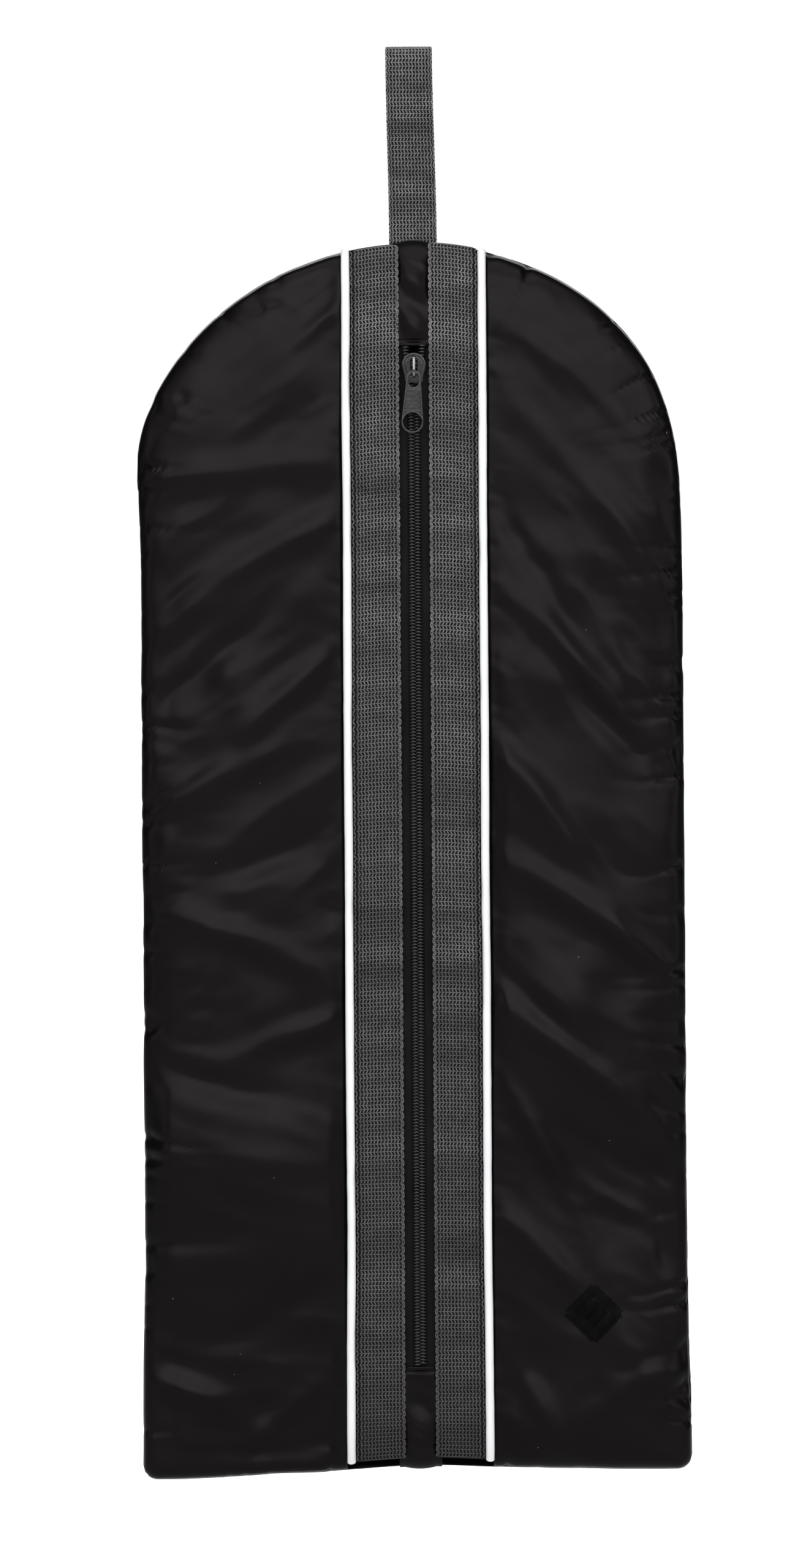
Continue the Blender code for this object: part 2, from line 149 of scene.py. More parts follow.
def settle(points):
    # the whole bag's small departures from a drawn shape, shared by every soft piece
    form = bagForm
    points = np.array(points, float)
    x, z = points[:, 0].copy(), points[:, 2].copy()
    low = smoothStep(-z, -form["bottom"] - 75, -form["bottom"])
    points[:, 0] += form["flare"] * x / form["halfWidth"] * smoothStep(-z, 470, -form["bottom"])
    lean = form["leftLean"] + form["archLean"] * np.exp(-(((z - form["archLeanZ"]) / 35) ** 2))
    points[:, 0] -= lean * np.clip(np.abs(x) / form["halfWidth"], 0, 1) ** 3
    near = np.exp(-(((np.abs(x) - form["pipingAt"]) / 16) ** 2))
    points[:, 0] += near * form["pipingWander"] * patchNoise(z / 48, np.sign(x) * 3.3, 11)
    points[:, 2] += form["bottomTilt"] * x / form["halfWidth"] * low
    sag = form["footRise"] * np.exp(-((x / 32) ** 2)) - form["footSag"] * smoothStep(np.abs(x), 50, 100)
    points[:, 2] += sag * smoothStep(-z, -form["bottom"] - 38, -form["bottom"] - 2)
    return points


def linked(name, data):
    obj = bpy.data.objects.new(name, data)
    bpy.context.scene.collection.objects.link(obj)
    return obj


def drop(*objects):
    for obj in objects:
        bpy.data.objects.remove(obj, do_unlink=True)


def plainMesh(holder):
    # the mesh that a curve or a tree of nodes comes to, in place of its object
    mesh = bpy.data.meshes.new_from_object(holder.evaluated_get(bpy.context.evaluated_depsgraph_get()))
    drop(holder)
    return mesh


def onBody(piece, body, slot, *nodes):
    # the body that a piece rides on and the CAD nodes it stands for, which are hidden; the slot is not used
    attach(piece, body)
    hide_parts(*nodes)


def newObject(name, points, faces, materials, smooth=50.0):
    # points in millimetres, placed in the mesh so that the object stays at the origin
    mesh = bpy.data.meshes.new(name)
    mesh.from_pydata((np.asarray(points, float) * mm).tolist(), [], [list(f) for f in faces])
    return finishedObject(name, mesh, materials, smooth)


def finishedObject(name, mesh, materials, smooth=50.0):
    mesh.name = name
    mesh.materials.clear()
    for material in materials:
        mesh.materials.append(material)
    mesh.shade_smooth()
    if smooth:
        mesh.set_sharp_from_angle(angle=math.radians(smooth))
    return linked(name, mesh)


def gridFaces(rows, columns, start=0):
    index = start + np.arange(rows * columns).reshape(rows, columns)
    return np.stack([index[:-1, :-1], index[:-1, 1:], index[1:, 1:], index[1:, :-1]], -1).reshape(-1, 4)


def outwardFaces(points, faces, side):
    # turns a sheet's faces to the front or the back
    a, b, c = (np.asarray(points)[faces[:, i]] for i in range(3))
    normal = np.cross(b - a, c - a).sum(0)
    return faces if normal[1] * side > 0 else faces[:, ::-1]


def closedTube(rings):
    # a tube through rings of points, closed at both ends
    count = len(rings[0])
    points = np.concatenate([np.asarray(r, float) for r in rings])
    faces = []
    for k in range(len(rings) - 1):
        for i in range(count):
            j = (i + 1) % count
            faces.append((k * count + i, k * count + j, (k + 1) * count + j, (k + 1) * count + i))
    faces.append(tuple(range(count))[::-1])
    faces.append(tuple(range((len(rings) - 1) * count, len(rings) * count)))
    return points, faces


def facingOut(obj):
    bm = bmesh.new()
    bm.from_mesh(obj.data)
    bmesh.ops.remove_doubles(bm, verts=bm.verts[:], dist=1e-7)
    bmesh.ops.recalc_face_normals(bm, faces=bm.faces[:])
    bm.to_mesh(obj.data)
    bm.free()
    return obj


def meshPoints(mesh):
    points = np.zeros(len(mesh.vertices) * 3)
    mesh.vertices.foreach_get("co", points)
    return points.reshape(-1, 3)


def setPoints(mesh, points):
    mesh.vertices.foreach_set("co", np.asarray(points, float).reshape(-1))
    mesh.update()


def shifted(obj, across, height=0.0):
    # moves a flat field that is still in millimetres
    setPoints(obj.data, meshPoints(obj.data) + (across, 0.0, height))
    return obj


def joined(name, objects):
    # one mesh from several objects at the origin, with all their materials
    bm = bmesh.new()
    materials = []
    for obj in objects:
        before = len(bm.faces)
        bm.from_mesh(obj.data)
        bm.faces.ensure_lookup_table()
        places = [materials.index(m) if m in materials else materials.append(m) or len(materials) - 1
                  for m in obj.data.materials]
        for face in bm.faces[before:]:
            face.material_index = places[face.material_index]
    mesh = bpy.data.meshes.new(name)
    bm.to_mesh(mesh)
    bm.free()
    drop(*objects)
    for material in materials:
        mesh.materials.append(material)
    return linked(name, mesh)


# shader groups
def newGroup(name, inputs, outputs):
    group = bpy.data.node_groups.new(name, "ShaderNodeTree")
    for label, kind, value in inputs:
        socket = group.interface.new_socket(label, in_out="INPUT", socket_type=kind)
        socket.default_value = value
    for label, kind in outputs:
        group.interface.new_socket(label, in_out="OUTPUT", socket_type=kind)
    return group, group.nodes.new("NodeGroupInput"), group.nodes.new("NodeGroupOutput")


def addNode(tree, kind, inputs, **settings):
    # a new node whose inputs take plain values or other nodes' outputs
    node = tree.nodes.new(kind)
    for label, value in settings.items():
        setattr(node, label, value)
    for place, value in inputs.items():
        if isinstance(value, bpy.types.NodeSocket):
            tree.links.new(value, node.inputs[place])
        else:
            node.inputs[place].default_value = value
    return node


def mathNode(tree, operation, *values):
    return addNode(tree, "ShaderNodeMath", dict(enumerate(values)), operation=operation).outputs[0]


floatKind, vectorKind, colourKind = "NodeSocketFloat", "NodeSocketVector", "NodeSocketColor"


def threadWeaveGroup():
    # crossing threads: a height for bump, and a painted shade that darkens the colour between the warp threads
    group, given, result = newGroup(
        "threadWeave",
        [("Vector", vectorKind, (0, 0, 0)), ("Threads per metre", floatKind, 2500.0), ("Lean", floatKind, 0.0)],
        [("Height", floatKind), ("Shade", floatKind)],
    )
    split = addNode(group, "ShaderNodeSeparateXYZ", {0: given.outputs["Vector"]})
    turns = mathNode(group, "MULTIPLY", given.outputs["Threads per metre"], math.pi)
    slanted = mathNode(group, "MULTIPLY", split.outputs["Z"], given.outputs["Lean"])
    across = mathNode(group, "ADD", split.outputs["X"], slanted)
    warp = mathNode(group, "SINE", mathNode(group, "MULTIPLY", across, turns))
    weft = mathNode(group, "SINE", mathNode(group, "MULTIPLY", split.outputs["Z"], turns))
    height = mathNode(group, "MULTIPLY_ADD", mathNode(group, "MULTIPLY", warp, weft), 0.5, 0.5)
    group.links.new(height, result.inputs["Height"])
    group.links.new(mathNode(group, "ABSOLUTE", warp), result.inputs["Shade"])
    return group


def mottleGroup():
    # cloudy variation between two values
    group, given, result = newGroup(
        "clothMottle",
        [("Vector", vectorKind, (0, 0, 0)), ("Size", floatKind, 60.0), ("Low", floatKind, 0.0),
         ("High", floatKind, 1.0)],
        [("Value", floatKind)],
    )
    cloud = addNode(group, "ShaderNodeTexNoise", {
        "Detail": 4.0, "Vector": given.outputs["Vector"], "Scale": given.outputs["Size"]})
    ramp = addNode(group, "ShaderNodeMapRange", {
        "From Min": 0.3, "From Max": 0.7, "Value": cloud.outputs[0],
        "To Min": given.outputs["Low"], "To Max": given.outputs["High"]})
    group.links.new(ramp.outputs[0], result.inputs["Value"])
    return group


def lintGroup():
    # a few pale specks of lint
    group, given, result = newGroup(
        "lintSpecks",
        [("Vector", vectorKind, (0, 0, 0)), ("Spots per metre", floatKind, 55.0), ("Reach", floatKind, 0.014)],
        [("Mask", floatKind)],
    )
    cells = addNode(group, "ShaderNodeTexVoronoi", {
        "Vector": given.outputs["Vector"], "Scale": given.outputs["Spots per metre"]})
    near = mathNode(group, "LESS_THAN", cells.outputs["Distance"], given.outputs["Reach"])
    group.links.new(near, result.inputs["Mask"])
    return group


weaveGroup, mottle, lint = threadWeaveGroup(), mottleGroup(), lintGroup()


def placeGroup(tree, group, vector, values):
    return addNode(tree, "ShaderNodeGroup", {"Vector": vector, **values}, node_tree=group)


def mixColour(tree, share, first, second):
    first, second = (value if isinstance(value, bpy.types.NodeSocket) else (*value, 1.0) for value in (first, second))
    mix = addNode(tree, "ShaderNodeMix", {"Factor": share, "A": first, "B": second}, data_type="RGBA")
    return mix.outputs["Result"]


def bumped(tree, shader, height, depth, strength):
    bump = addNode(tree, "ShaderNodeBump", {"Distance": depth * mm, "Strength": strength, "Height": height})
    tree.links.new(bump.outputs[0], shader.inputs["Normal"])


# painted shade along a strip: lighter and darker stretches stand in for the shade of its waves, and the colour darkens
# towards its foot
paintedShadeLook = {"stretch": (0.12, 0.12, 1), "size": 75.0, "offset": 1.2, "footLow": -0.566, "footHigh": -0.536,
            "footShade": 0.35, "darkest": (0.02, 0.02, 0.02)}


# paints shade into the colour: cloudy shade bands, a fall from top to bottom and a darker foot
def paintedShadeBands(tree, where, colour, look):
    shadeBands = paintedShadeLook
    stretch = addNode(tree, "ShaderNodeMapping", {"Vector": where, "Scale": shadeBands["stretch"]})
    band = placeGroup(tree, mottle, stretch.outputs[0], {"Size": shadeBands["size"], "Low": 1 - look["shadeBands"], "High": 1.0})
    height = addNode(tree, "ShaderNodeSeparateXYZ", {0: where}).outputs["Z"]
    paintedFalloff = mathNode(tree, "MULTIPLY_ADD", height, look["fade"], shadeBands["offset"])
    foot = addNode(tree, "ShaderNodeMapRange", {
        "Value": height, "From Min": shadeBands["footLow"], "From Max": shadeBands["footHigh"], "To Min": shadeBands["footShade"]})
    share = mathNode(tree, "MULTIPLY", mathNode(tree, "MULTIPLY", band.outputs["Value"], paintedFalloff), foot.outputs[0])
    return mixColour(tree, share, shadeBands["darkest"], colour)


def clothMaterial(name, look):
    material = bpy.data.materials.new(name)
    material.use_nodes = True
    tree = material.node_tree
    shader = tree.nodes["Principled BSDF"]
    shader.inputs["Specular IOR Level"].default_value = look.get("specular", 0.5)
    shader.inputs["IOR"].default_value = look.get("ior", 1.5)
    shader.inputs["Specular Tint"].default_value = (*look.get("specularTint", (1, 1, 1)), 1)
    shader.inputs["Sheen Weight"].default_value = look.get("sheen", 0.0)
    where = tree.nodes.new("ShaderNodeTexCoord").outputs["Object"]
    cloud = placeGroup(tree, mottle, where, {"Size": look.get("cloudSize", 40.0), "Low": 0.0, "High": 1.0})
    colour = mixColour(tree, cloud.outputs["Value"], look["dark"], look["light"])
    # painted shade bands along the webbing, darker towards its foot
    if look.get("shadeBands"):
        colour = paintedShadeBands(tree, where, colour, look)
    rough = placeGroup(tree, mottle, where, {
        "Size": 90.0, "Low": look["roughness"] - 0.04, "High": look["roughness"] + 0.04})
    tree.links.new(rough.outputs["Value"], shader.inputs["Roughness"])
    if look.get("lint"):
        specks = placeGroup(tree, lint, where, {"Spots per metre": look["lint"]})
        colour = mixColour(tree, specks.outputs["Mask"], colour, (0.12, 0.12, 0.12))
    if look.get("threads"):
        threads = placeGroup(tree, weaveGroup, where, {
            "Threads per metre": look["threads"], "Lean": look.get("lean", 0.0)})
        # painted shade between the warp threads: the colour darkens by a quarter there
        colour = mixColour(tree, threads.outputs["Shade"], mixColour(tree, 0.25, colour, (0, 0, 0)), colour)
        bumped(tree, shader, threads.outputs["Height"], look.get("threadDepth", 0.05), look.get("threadStrength", 0.5))
    elif look.get("grain"):
        grain = placeGroup(tree, mottle, where, {"Size": look["grain"], "Low": 0.0, "High": 1.0})
        bumped(tree, shader, grain.outputs["Value"], look.get("grainDepth", 0.05), 0.6)
    tree.links.new(colour, shader.inputs["Base Color"])
    return material


satinNylon = clothMaterial("satinNylon", {
    "dark": (0.0013, 0.0010, 0.0012), "light": (0.0022, 0.0017, 0.0018), "roughness": 0.36, "specular": 0.105,
    "specularTint": (1.0, 0.91, 0.94),
    "threads": 3600.0, "threadDepth": 0.02, "threadStrength": 0.2,
    "lint": 60.0, "cloudSize": 18.0})
quiltWadding = clothMaterial("quiltWadding", {
    "dark": (0.5, 0.5, 0.48), "light": (0.62, 0.62, 0.6), "roughness": 0.95, "grain": 900.0, "grainDepth": 0.2})
plainLining = clothMaterial("plainLining", {
    "dark": (0.012, 0.012, 0.013), "light": (0.018, 0.018, 0.019), "roughness": 0.6, "threads": 1600.0,
    "sheen": 0.05, "threadDepth": 0.06})
# painted shade: the webbing's banding and its fade towards the foot
webbingYarn = clothMaterial("webbingYarn", {
    "dark": (0.115, 0.115, 0.118), "light": (0.21, 0.21, 0.215), "roughness": 0.55, "specular": 0.4,
    "sheen": 0.05, "grain": 5200.0, "grainDepth": 0.05, "cloudSize": 420.0, "shadeBands": 0.75, "fade": 1.4})
webbingEdge = clothMaterial("webbingEdge", {
    "dark": (0.06, 0.06, 0.062), "light": (0.12, 0.12, 0.123), "roughness": 0.6, "specular": 0.3,
    "grain": 5200.0, "grainDepth": 0.05, "cloudSize": 420.0, "shadeBands": 0.5, "fade": 0.9})
webbingGround = clothMaterial("webbingGround", {
    "dark": (0.003, 0.003, 0.003), "light": (0.009, 0.009, 0.009), "roughness": 0.9, "grain": 2200.0,
    "specular": 0.1, "cloudSize": 300.0})
stitchThread = clothMaterial("stitchThread", {
    "dark": (0.03, 0.03, 0.031), "light": (0.055, 0.055, 0.057), "roughness": 0.6, "grain": 6000.0})
pipingSatin = clothMaterial("pipingSatin", {
    "dark": (0.72, 0.72, 0.735), "light": (0.79, 0.79, 0.805), "roughness": 0.5, "sheen": 0.1,
    "threads": 2400.0, "lean": 0.6, "threadDepth": 0.02, "threadStrength": 0.3})
tapeTwill = clothMaterial("tapeTwill", {
    "dark": (0.002, 0.002, 0.002), "light": (0.0045, 0.0045, 0.0045), "roughness": 0.7, "threads": 1500.0,
    "lean": 1.0, "threadDepth": 0.08, "specular": 0.1})
seamBinding = clothMaterial("seamBinding", {
    "dark": (0.01, 0.01, 0.01), "light": (0.018, 0.018, 0.018), "roughness": 0.8, "threads": 1400.0})
coilNylon = clothMaterial("coilNylon", {
    "dark": (0.003, 0.003, 0.003), "light": (0.006, 0.006, 0.006), "roughness": 0.3, "grain": 3000.0,
    "grainDepth": 0.01, "cloudSize": 200.0, "specular": 0.5})
blackEnamel = clothMaterial("blackEnamel", {
    "dark": (0.003, 0.003, 0.0035), "light": (0.006, 0.006, 0.0065), "roughness": 0.2, "grain": 900.0,
    "grainDepth": 0.02, "specular": 0.5, "ior": 1.6, "cloudSize": 150.0})
brightEnamel = clothMaterial("brightEnamel", {
    "dark": (0.004, 0.004, 0.0045), "light": (0.008, 0.008, 0.0085), "roughness": 0.16, "grain": 900.0,
    "grainDepth": 0.02, "specular": 1.0, "ior": 1.8, "cloudSize": 150.0})
embroideryThread = clothMaterial("embroideryThread", {
    "dark": (0.001, 0.001, 0.001), "light": (0.003, 0.003, 0.003), "roughness": 0.5, "grain": 5000.0,
    "grainDepth": 0.03, "specular": 0.06})
print("materials made")


# the tree that repeats a small piece in rows
def repeatTree():
    tree = bpy.data.node_groups.new("rowsOfPieces", "GeometryNodeTree")
    sockets = tree.interface
    sockets.new_socket("Geometry", in_out="INPUT", socket_type="NodeSocketGeometry")
    for label, kind in (("Piece", "NodeSocketObject"), ("Columns", "NodeSocketInt"), ("Rows", "NodeSocketInt"),
                        ("Column Pitch", floatKind), ("Row Pitch", floatKind), ("Slant", floatKind),
                        ("Slant Jitter", floatKind), ("Size Jitter", floatKind), ("Seed", "NodeSocketInt"),
                        ("Finish", "NodeSocketMaterial")):
        sockets.new_socket(label, in_out="INPUT", socket_type=kind)
    sockets.new_socket("Geometry", in_out="OUTPUT", socket_type="NodeSocketGeometry")
    nodes = tree.nodes
    given, result = nodes.new("NodeGroupInput"), nodes.new("NodeGroupOutput")

    def span(count, pitch):
        return mathNode(tree, "MULTIPLY", mathNode(tree, "SUBTRACT", given.outputs[count], 1.0), given.outputs[pitch])

    def randomValue(seedOffset, low, high):
        seed = mathNode(tree, "ADD", given.outputs["Seed"], seedOffset)
        return addNode(tree, "FunctionNodeRandomValue", {2: low, 3: high, "Seed": seed}, data_type="FLOAT").outputs[1]

    grid = addNode(tree, "GeometryNodeMeshGrid", {
        "Size X": span("Columns", "Column Pitch"), "Size Y": span("Rows", "Row Pitch"),
        "Vertices X": given.outputs["Columns"], "Vertices Y": given.outputs["Rows"]})
    info = addNode(tree, "GeometryNodeObjectInfo", {"Object": given.outputs["Piece"]})
    index = nodes.new("GeometryNodeInputIndex").outputs[0]
    odd = mathNode(tree, "MODULO", mathNode(tree, "MODULO", index, given.outputs["Rows"]), 2.0)
    sign = mathNode(tree, "MULTIPLY_ADD", odd, 2.0, -1.0)  # rows slant to the left and right by turns
    slant = mathNode(tree, "MULTIPLY", sign, given.outputs["Slant"])
    less = mathNode(tree, "MULTIPLY", given.outputs["Slant Jitter"], -1.0)
    slant = mathNode(tree, "ADD", slant, randomValue(1, less, given.outputs["Slant Jitter"]))
    turn = addNode(tree, "ShaderNodeCombineXYZ", {"Z": slant})
    small = mathNode(tree, "SUBTRACT", 1.0, given.outputs["Size Jitter"])
    large = mathNode(tree, "ADD", 1.0, given.outputs["Size Jitter"])
    place = addNode(tree, "GeometryNodeInstanceOnPoints", {
        "Points": grid.outputs["Mesh"], "Instance": info.outputs["Geometry"], "Rotation": turn.outputs[0],
        "Scale": randomValue(2, small, large)})
    real = addNode(tree, "GeometryNodeRealizeInstances", {0: place.outputs[0]})
    finish = addNode(tree, "GeometryNodeSetMaterial", {
        "Geometry": real.outputs[0], "Material": given.outputs["Finish"]})
    tree.links.new(finish.outputs[0], result.inputs["Geometry"])
    return tree


rowsTree = repeatTree()


def rowsOf(name, piece, finish, columns, rows, columnPitch, rowPitch, slant=0.0, slantJitter=0.0,
           sizeJitter=0.0, seed=1):
    # a flat field of small pieces: X across, Y along, Z up, centred, in millimetres
    holder = linked(name + "Rows", bpy.data.meshes.new(name + "Rows"))
    modifier = holder.modifiers.new("rows", "NODES")
    modifier.node_group = rowsTree
    values = {"Piece": piece, "Columns": columns, "Rows": rows, "Column Pitch": columnPitch,
              "Row Pitch": rowPitch, "Slant": math.radians(slant), "Slant Jitter": math.radians(slantJitter),
              "Size Jitter": sizeJitter, "Seed": seed, "Finish": finish}
    for socket in rowsTree.interface.items_tree:
        if socket.item_type == "SOCKET" and socket.in_out == "INPUT" and socket.name in values:
            modifier[socket.identifier] = values[socket.name]
    return finishedObject(name, plainMesh(holder), [finish], smooth=None)


def loosePiece(name, rings):
    # a closed tube in millimetres, for rowsOf to repeat
    points, faces = closedTube(rings)
    mesh = bpy.data.meshes.new(name)
    mesh.from_pydata(points.tolist(), [], faces)
    return facingOut(linked(name, mesh))


def pod(name, length, width, height, segments, sides, tip=0.4, sink=0.0):
    # a small grain-shaped piece along Y, used for yarn floats and stitches
    rings = []
    for k in range(segments + 1):
        share = k / segments
        swell = tip + (1 - tip) * math.sin(math.pi * share)
        ring = []
        for i in range(sides):
            angle = 2 * math.pi * i / sides + math.pi / 2
            ring.append((width / 2 * swell * math.cos(angle), length * (share - 0.5),
                         height * swell * math.sin(angle) - sink))
        rings.append(ring)
    return loosePiece(name, rings)


# fabric panels
panelLook = {
    "frontInner": 29.2,
    "simColumns": 34,
    "simRows": 150,
    "columns": 60,
    "rows": 300,
    "backColumns": 100,
    "backRows": 240,
    "thickness": 0.5,
    "quilting": 2.0,  # thickness of the quilt, and how far under the cover's face it starts
    "quiltUnder": 0.8,
    "foldRise": 1.55,
    "edgeCrease": 2.5,  # depth of the creases along the turned seam
    "edgeReach": 11.0,
    "edgeWave": 8.5,
    "edgeNarrow": 0.17,  # smaller makes each crease sharper
    "pipingCrease": 0.6,
    "pipingReach": 6.0,
    "crumple": 0.74,
    "hills": 2.2,
    "scallop": 0.5,  # how far the outline wavers in and out
}

# the large soft folds on the front: across, height, direction in degrees, length, width, rise
frontFolds = {
    -1: [(-66, -562, -8, 190, 96, -3.2), (-72, -452, -10, 150, 64, 3.0), (-72, -172, 8, 70, 13, 1.4),
         (-60, -205, 30, 95, 12, 1.8), (-84, -250, 38, 80, 11, -1.6), (-52, -262, 42, 70, 10, 1.5),
         (-88, -300, 30, 60, 10, 1.5), (-60, -330, 20, 70, 13, -1.6), (-70, -362, -22, 70, 12, 1.7),
         (-48, -400, 18, 60, 11, 1.5), (-86, -420, -18, 60, 12, -1.5), (-64, -452, -8, 80, 14, 1.0),
         (-80, -492, 10, 70, 14, 0.8), (-58, -515, 28, 70, 13, -1.0), (-88, -548, -26, 60, 12, 1.7),
         (-56, -556, 42, 45, 10, 1.2)],
    1: [(48, -312, -45, 80, 34, 2.2), (58, -392, -30, 80, 44, 2.6), (84, -470, -30, 90, 40, -2.2),
        (58, -128, -38, 70, 10, 1.3), (80, -190, -52, 90, 11, 1.5), (48, -210, -58, 90, 10, -1.4),
        (66, -250, -48, 100, 11, 1.8), (90, -285, -40, 70, 11, -1.6), (46, -300, -50, 90, 10, 1.6),
        (62, -345, -30, 80, 12, 2.0), (88, -365, -35, 60, 11, 1.4), (50, -392, -45, 80, 10, -1.8),
        (72, -415, -38, 80, 12, 1.8), (50, -445, -60, 70, 9, 1.7), (88, -455, -25, 60, 12, -1.4),
        (60, -500, -48, 80, 10, 1.6), (86, -545, 30, 55, 12, 1.3), (48, -552, -62, 50, 9, 1.5)],
}
backFolds = [(-60, -190, 35, 120, 14, 1.6), (50, -210, -40, 130, 14, 1.7), (-20, -260, -30, 120, 14, -1.6),
             (70, -310, -35, 110, 13, 1.7), (-75, -330, 30, 110, 13, 1.6), (10, -370, 25, 140, 15, 1.8),
             (-50, -430, -20, 120, 14, -1.8), (60, -440, 30, 110, 13, 1.6), (-70, -500, 24, 110, 14, 1.7),
             (20, -520, -28, 130, 14, 1.6), (80, -548, 30, 60, 12, -1.4)]

# the way the small creases run: height, direction in degrees
creaseWays = {-1: ((-250, 33), (-480, -9)), 1: ((-250, -50), (-500, -30))}


def foldHeight(x, z, folds):
    total = np.zeros_like(x)
    for placeX, placeZ, angle, length, width, rise in folds:
        turn = math.radians(angle)
        along = (x - placeX) * math.cos(turn) + (z - placeZ) * math.sin(turn)
        across = -(x - placeX) * math.sin(turn) + (z - placeZ) * math.cos(turn)
        across = across + 0.0016 * along**2 * np.sign(rise)
        total += rise * np.exp(-((along / (length / 2)) ** 2)) * np.exp(-((across / (width / 2)) ** 2))
    return total


def ridged(u, v, seed, soft=0.1):
    # sharp crests where the smooth noise crosses nought
    value = patchNoise(u, v, seed)
    return 0.45 - 1.7 * (np.sqrt(value * value + soft * soft) - soft)


def crumple(x, z, angle, seed):
    turn = math.radians(angle)
    x = x + 5 * patchNoise(x / 31, z / 31, seed + 1)
    z = z + 5 * patchNoise(x / 29, z / 29, seed + 2)
    along = x * math.cos(turn) + z * math.sin(turn)
    across = -x * math.sin(turn) + z * math.cos(turn)
    total = 1.5 * ridged(along / 44, across / 17, seed + 3)
    total += 0.6 * ridged(along / 22, across / 9, seed + 4)
    total += 0.14 * ridged(along / 11, across / 5, seed + 5)
    return total * (0.7 + 0.45 * patchNoise(x / 37, z / 42, seed + 6))


def alongEdge(x, z):
    # distance round the outline, from the foot of the arch
    form = bagForm
    base = form["top"] - form["archRise"]
    up = np.maximum(z - base, 0) / form["archRise"]
    arch = -form["archRadius"] * np.arctan2(up, np.maximum(np.abs(x), 1e-3) / form["halfWidth"])
    fromSide, fromBottom = form["halfWidth"] - np.abs(x), z - form["bottom"]
    lower = np.where(fromSide < fromBottom, base - z, base - form["bottom"] + fromSide)
    return np.where(z > base, arch, lower)


def edgeCrease(x, z, inset, seed):
    # creases that run in from the seam, from 0 (none) to 1 (deepest)
    look = panelLook
    run, hand = alongEdge(x, z), np.sign(x)
    run = run + 0.3 * np.minimum(inset, 18) * patchNoise(run / 23, hand * 9.1, seed + 5)
    value = patchNoise(run / look["edgeWave"], hand * 7.7 + inset / 45, seed)
    deep = np.exp(-((value / look["edgeNarrow"]) ** 2))
    strength = np.clip(0.6 + 0.9 * patchNoise(run / 19, hand * 2.2, seed + 1), 0.2, 1)
    return deep * strength


def largeRelief(x, z, side, seed):
    inset = insetAt(x, z)
    folds = frontFolds[-1] + frontFolds[1] if side < 0 else backFolds
    gapFade = smoothStep(np.abs(x) - bagForm["pipingAt"], 0.5, 10) if side < 0 else 1
    hills = patchNoise(x / 30, z / 38, seed + 8) + 0.5 * patchNoise(x / 15, z / 17, seed + 9)
    total = panelLook["foldRise"] * foldHeight(x, z, folds) + panelLook["hills"] * 0.5 * hills
    return total * smoothStep(inset, 1, 12) * gapFade


def smallRelief(x, z, side, seed):
    look = panelLook
    inset = insetAt(x, z)
    corner = np.abs((bagForm["halfWidth"] - np.abs(x)) - (z - bagForm["bottom"]))
    calm = smoothStep(corner, 2, 12) * smoothStep(inset, 0, 2.5)
    total = -look["edgeCrease"] * edgeCrease(x, z, inset, seed) * np.exp(-inset / look["edgeReach"]) * calm
    hand = 1 if side > 0 else np.sign(x[0] if x.ndim else x)
    upper, lower = creaseWays[int(hand)]
    share = smoothStep(z, lower[0], upper[0])
    creases = crumple(x, z, upper[1], seed + 40) * share + crumple(x, z, lower[1], seed + 50) * (1 - share)
    gap = np.abs(x) - bagForm["pipingAt"]
    gapFade = smoothStep(gap, 0.5, 7) if side < 0 else 1
    total += look["crumple"] * creases * smoothStep(inset, 1, 10) * gapFade
    if side < 0:
        pull = patchNoise(z / 3.6 + gap * 0.1 * hand, gap / 30, seed + 3)
        fade = np.exp(-gap / look["pipingReach"]) * smoothStep(gap, 0.5, 2.5)
        total -= look["pipingCrease"] * np.exp(-((pull / 0.2) ** 2)) * fade
    return total


def scallop(points, seed):
    # the outline is drawn in where the seam gathers the cloth
    look, form = panelLook, bagForm
    x, z = points[:, 0], points[:, 2]
    inset = insetAt(x, z)
    run = alongEdge(x, z)
    wave = 0.4 * patchNoise(run / 17, np.sign(x) * 6.1, seed + 1) - edgeCrease(x, z, inset, seed)
    wave = wave * look["scallop"] * np.exp(-inset / 4)
    base = form["top"] - form["archRise"]
    fromSide, fromBottom = form["halfWidth"] - np.abs(x), z - form["bottom"]
    share = smoothStep(fromSide - fromBottom, -6, 6)
    outX = np.where(z > base, x / form["halfWidth"], np.sign(x) * (1 - share))
    outZ = np.where(z > base, (z - base) / form["archRise"], -share)
    size = np.maximum(np.hypot(outX, outZ), 1e-6)
    quiet = smoothStep(np.abs(x), 24, 34)
    points[:, 0] += wave * quiet * outX / size
    points[:, 2] += wave * quiet * outZ / size
    return points


def panelGrid(inner, columns, rows, mirror):
    form = bagForm
    if inner is None:
        t = np.linspace(-1, 1, columns)
        x = form["halfWidth"] * (0.5 * np.sin(t * math.pi / 2) + 0.5 * t)
    else:
        t = np.linspace(0, 1, columns)
        x = inner + (form["halfWidth"] - inner) * (0.5 * np.sin(t * math.pi / 2) + 0.5 * t)
    x = x * mirror
    share = np.linspace(0, 1, rows)
    share = share - 0.012 * np.sin(2 * math.pi * share)
    low, high = bottomEdge(x), topEdge(x)
    z = low[None, :] + (high - low)[None, :] * share[:, None]
    return np.repeat(x[None, :], rows, 0), z


def finer(field, rows, columns):
    # smooth reading of a coarse grid at more rows and columns
    for axis, count in ((0, rows), (1, columns)):
        field = np.moveaxis(field, axis, 0)
        last = len(field) - 1
        at = np.linspace(0, last, count)
        i = np.minimum(np.floor(at).astype(int), last - 1)
        f = (at - i).reshape(-1, *([1] * (field.ndim - 1)))
        a, b, c, d = (field[np.clip(i + k, 0, last)] for k in (-1, 0, 1, 2))
        field = b + 0.5 * f * (c - a + f * (2 * a - 5 * b + 4 * c - d + f * (3 * (b - c) + d - a)))
        field = np.moveaxis(field, 0, axis)
    return field


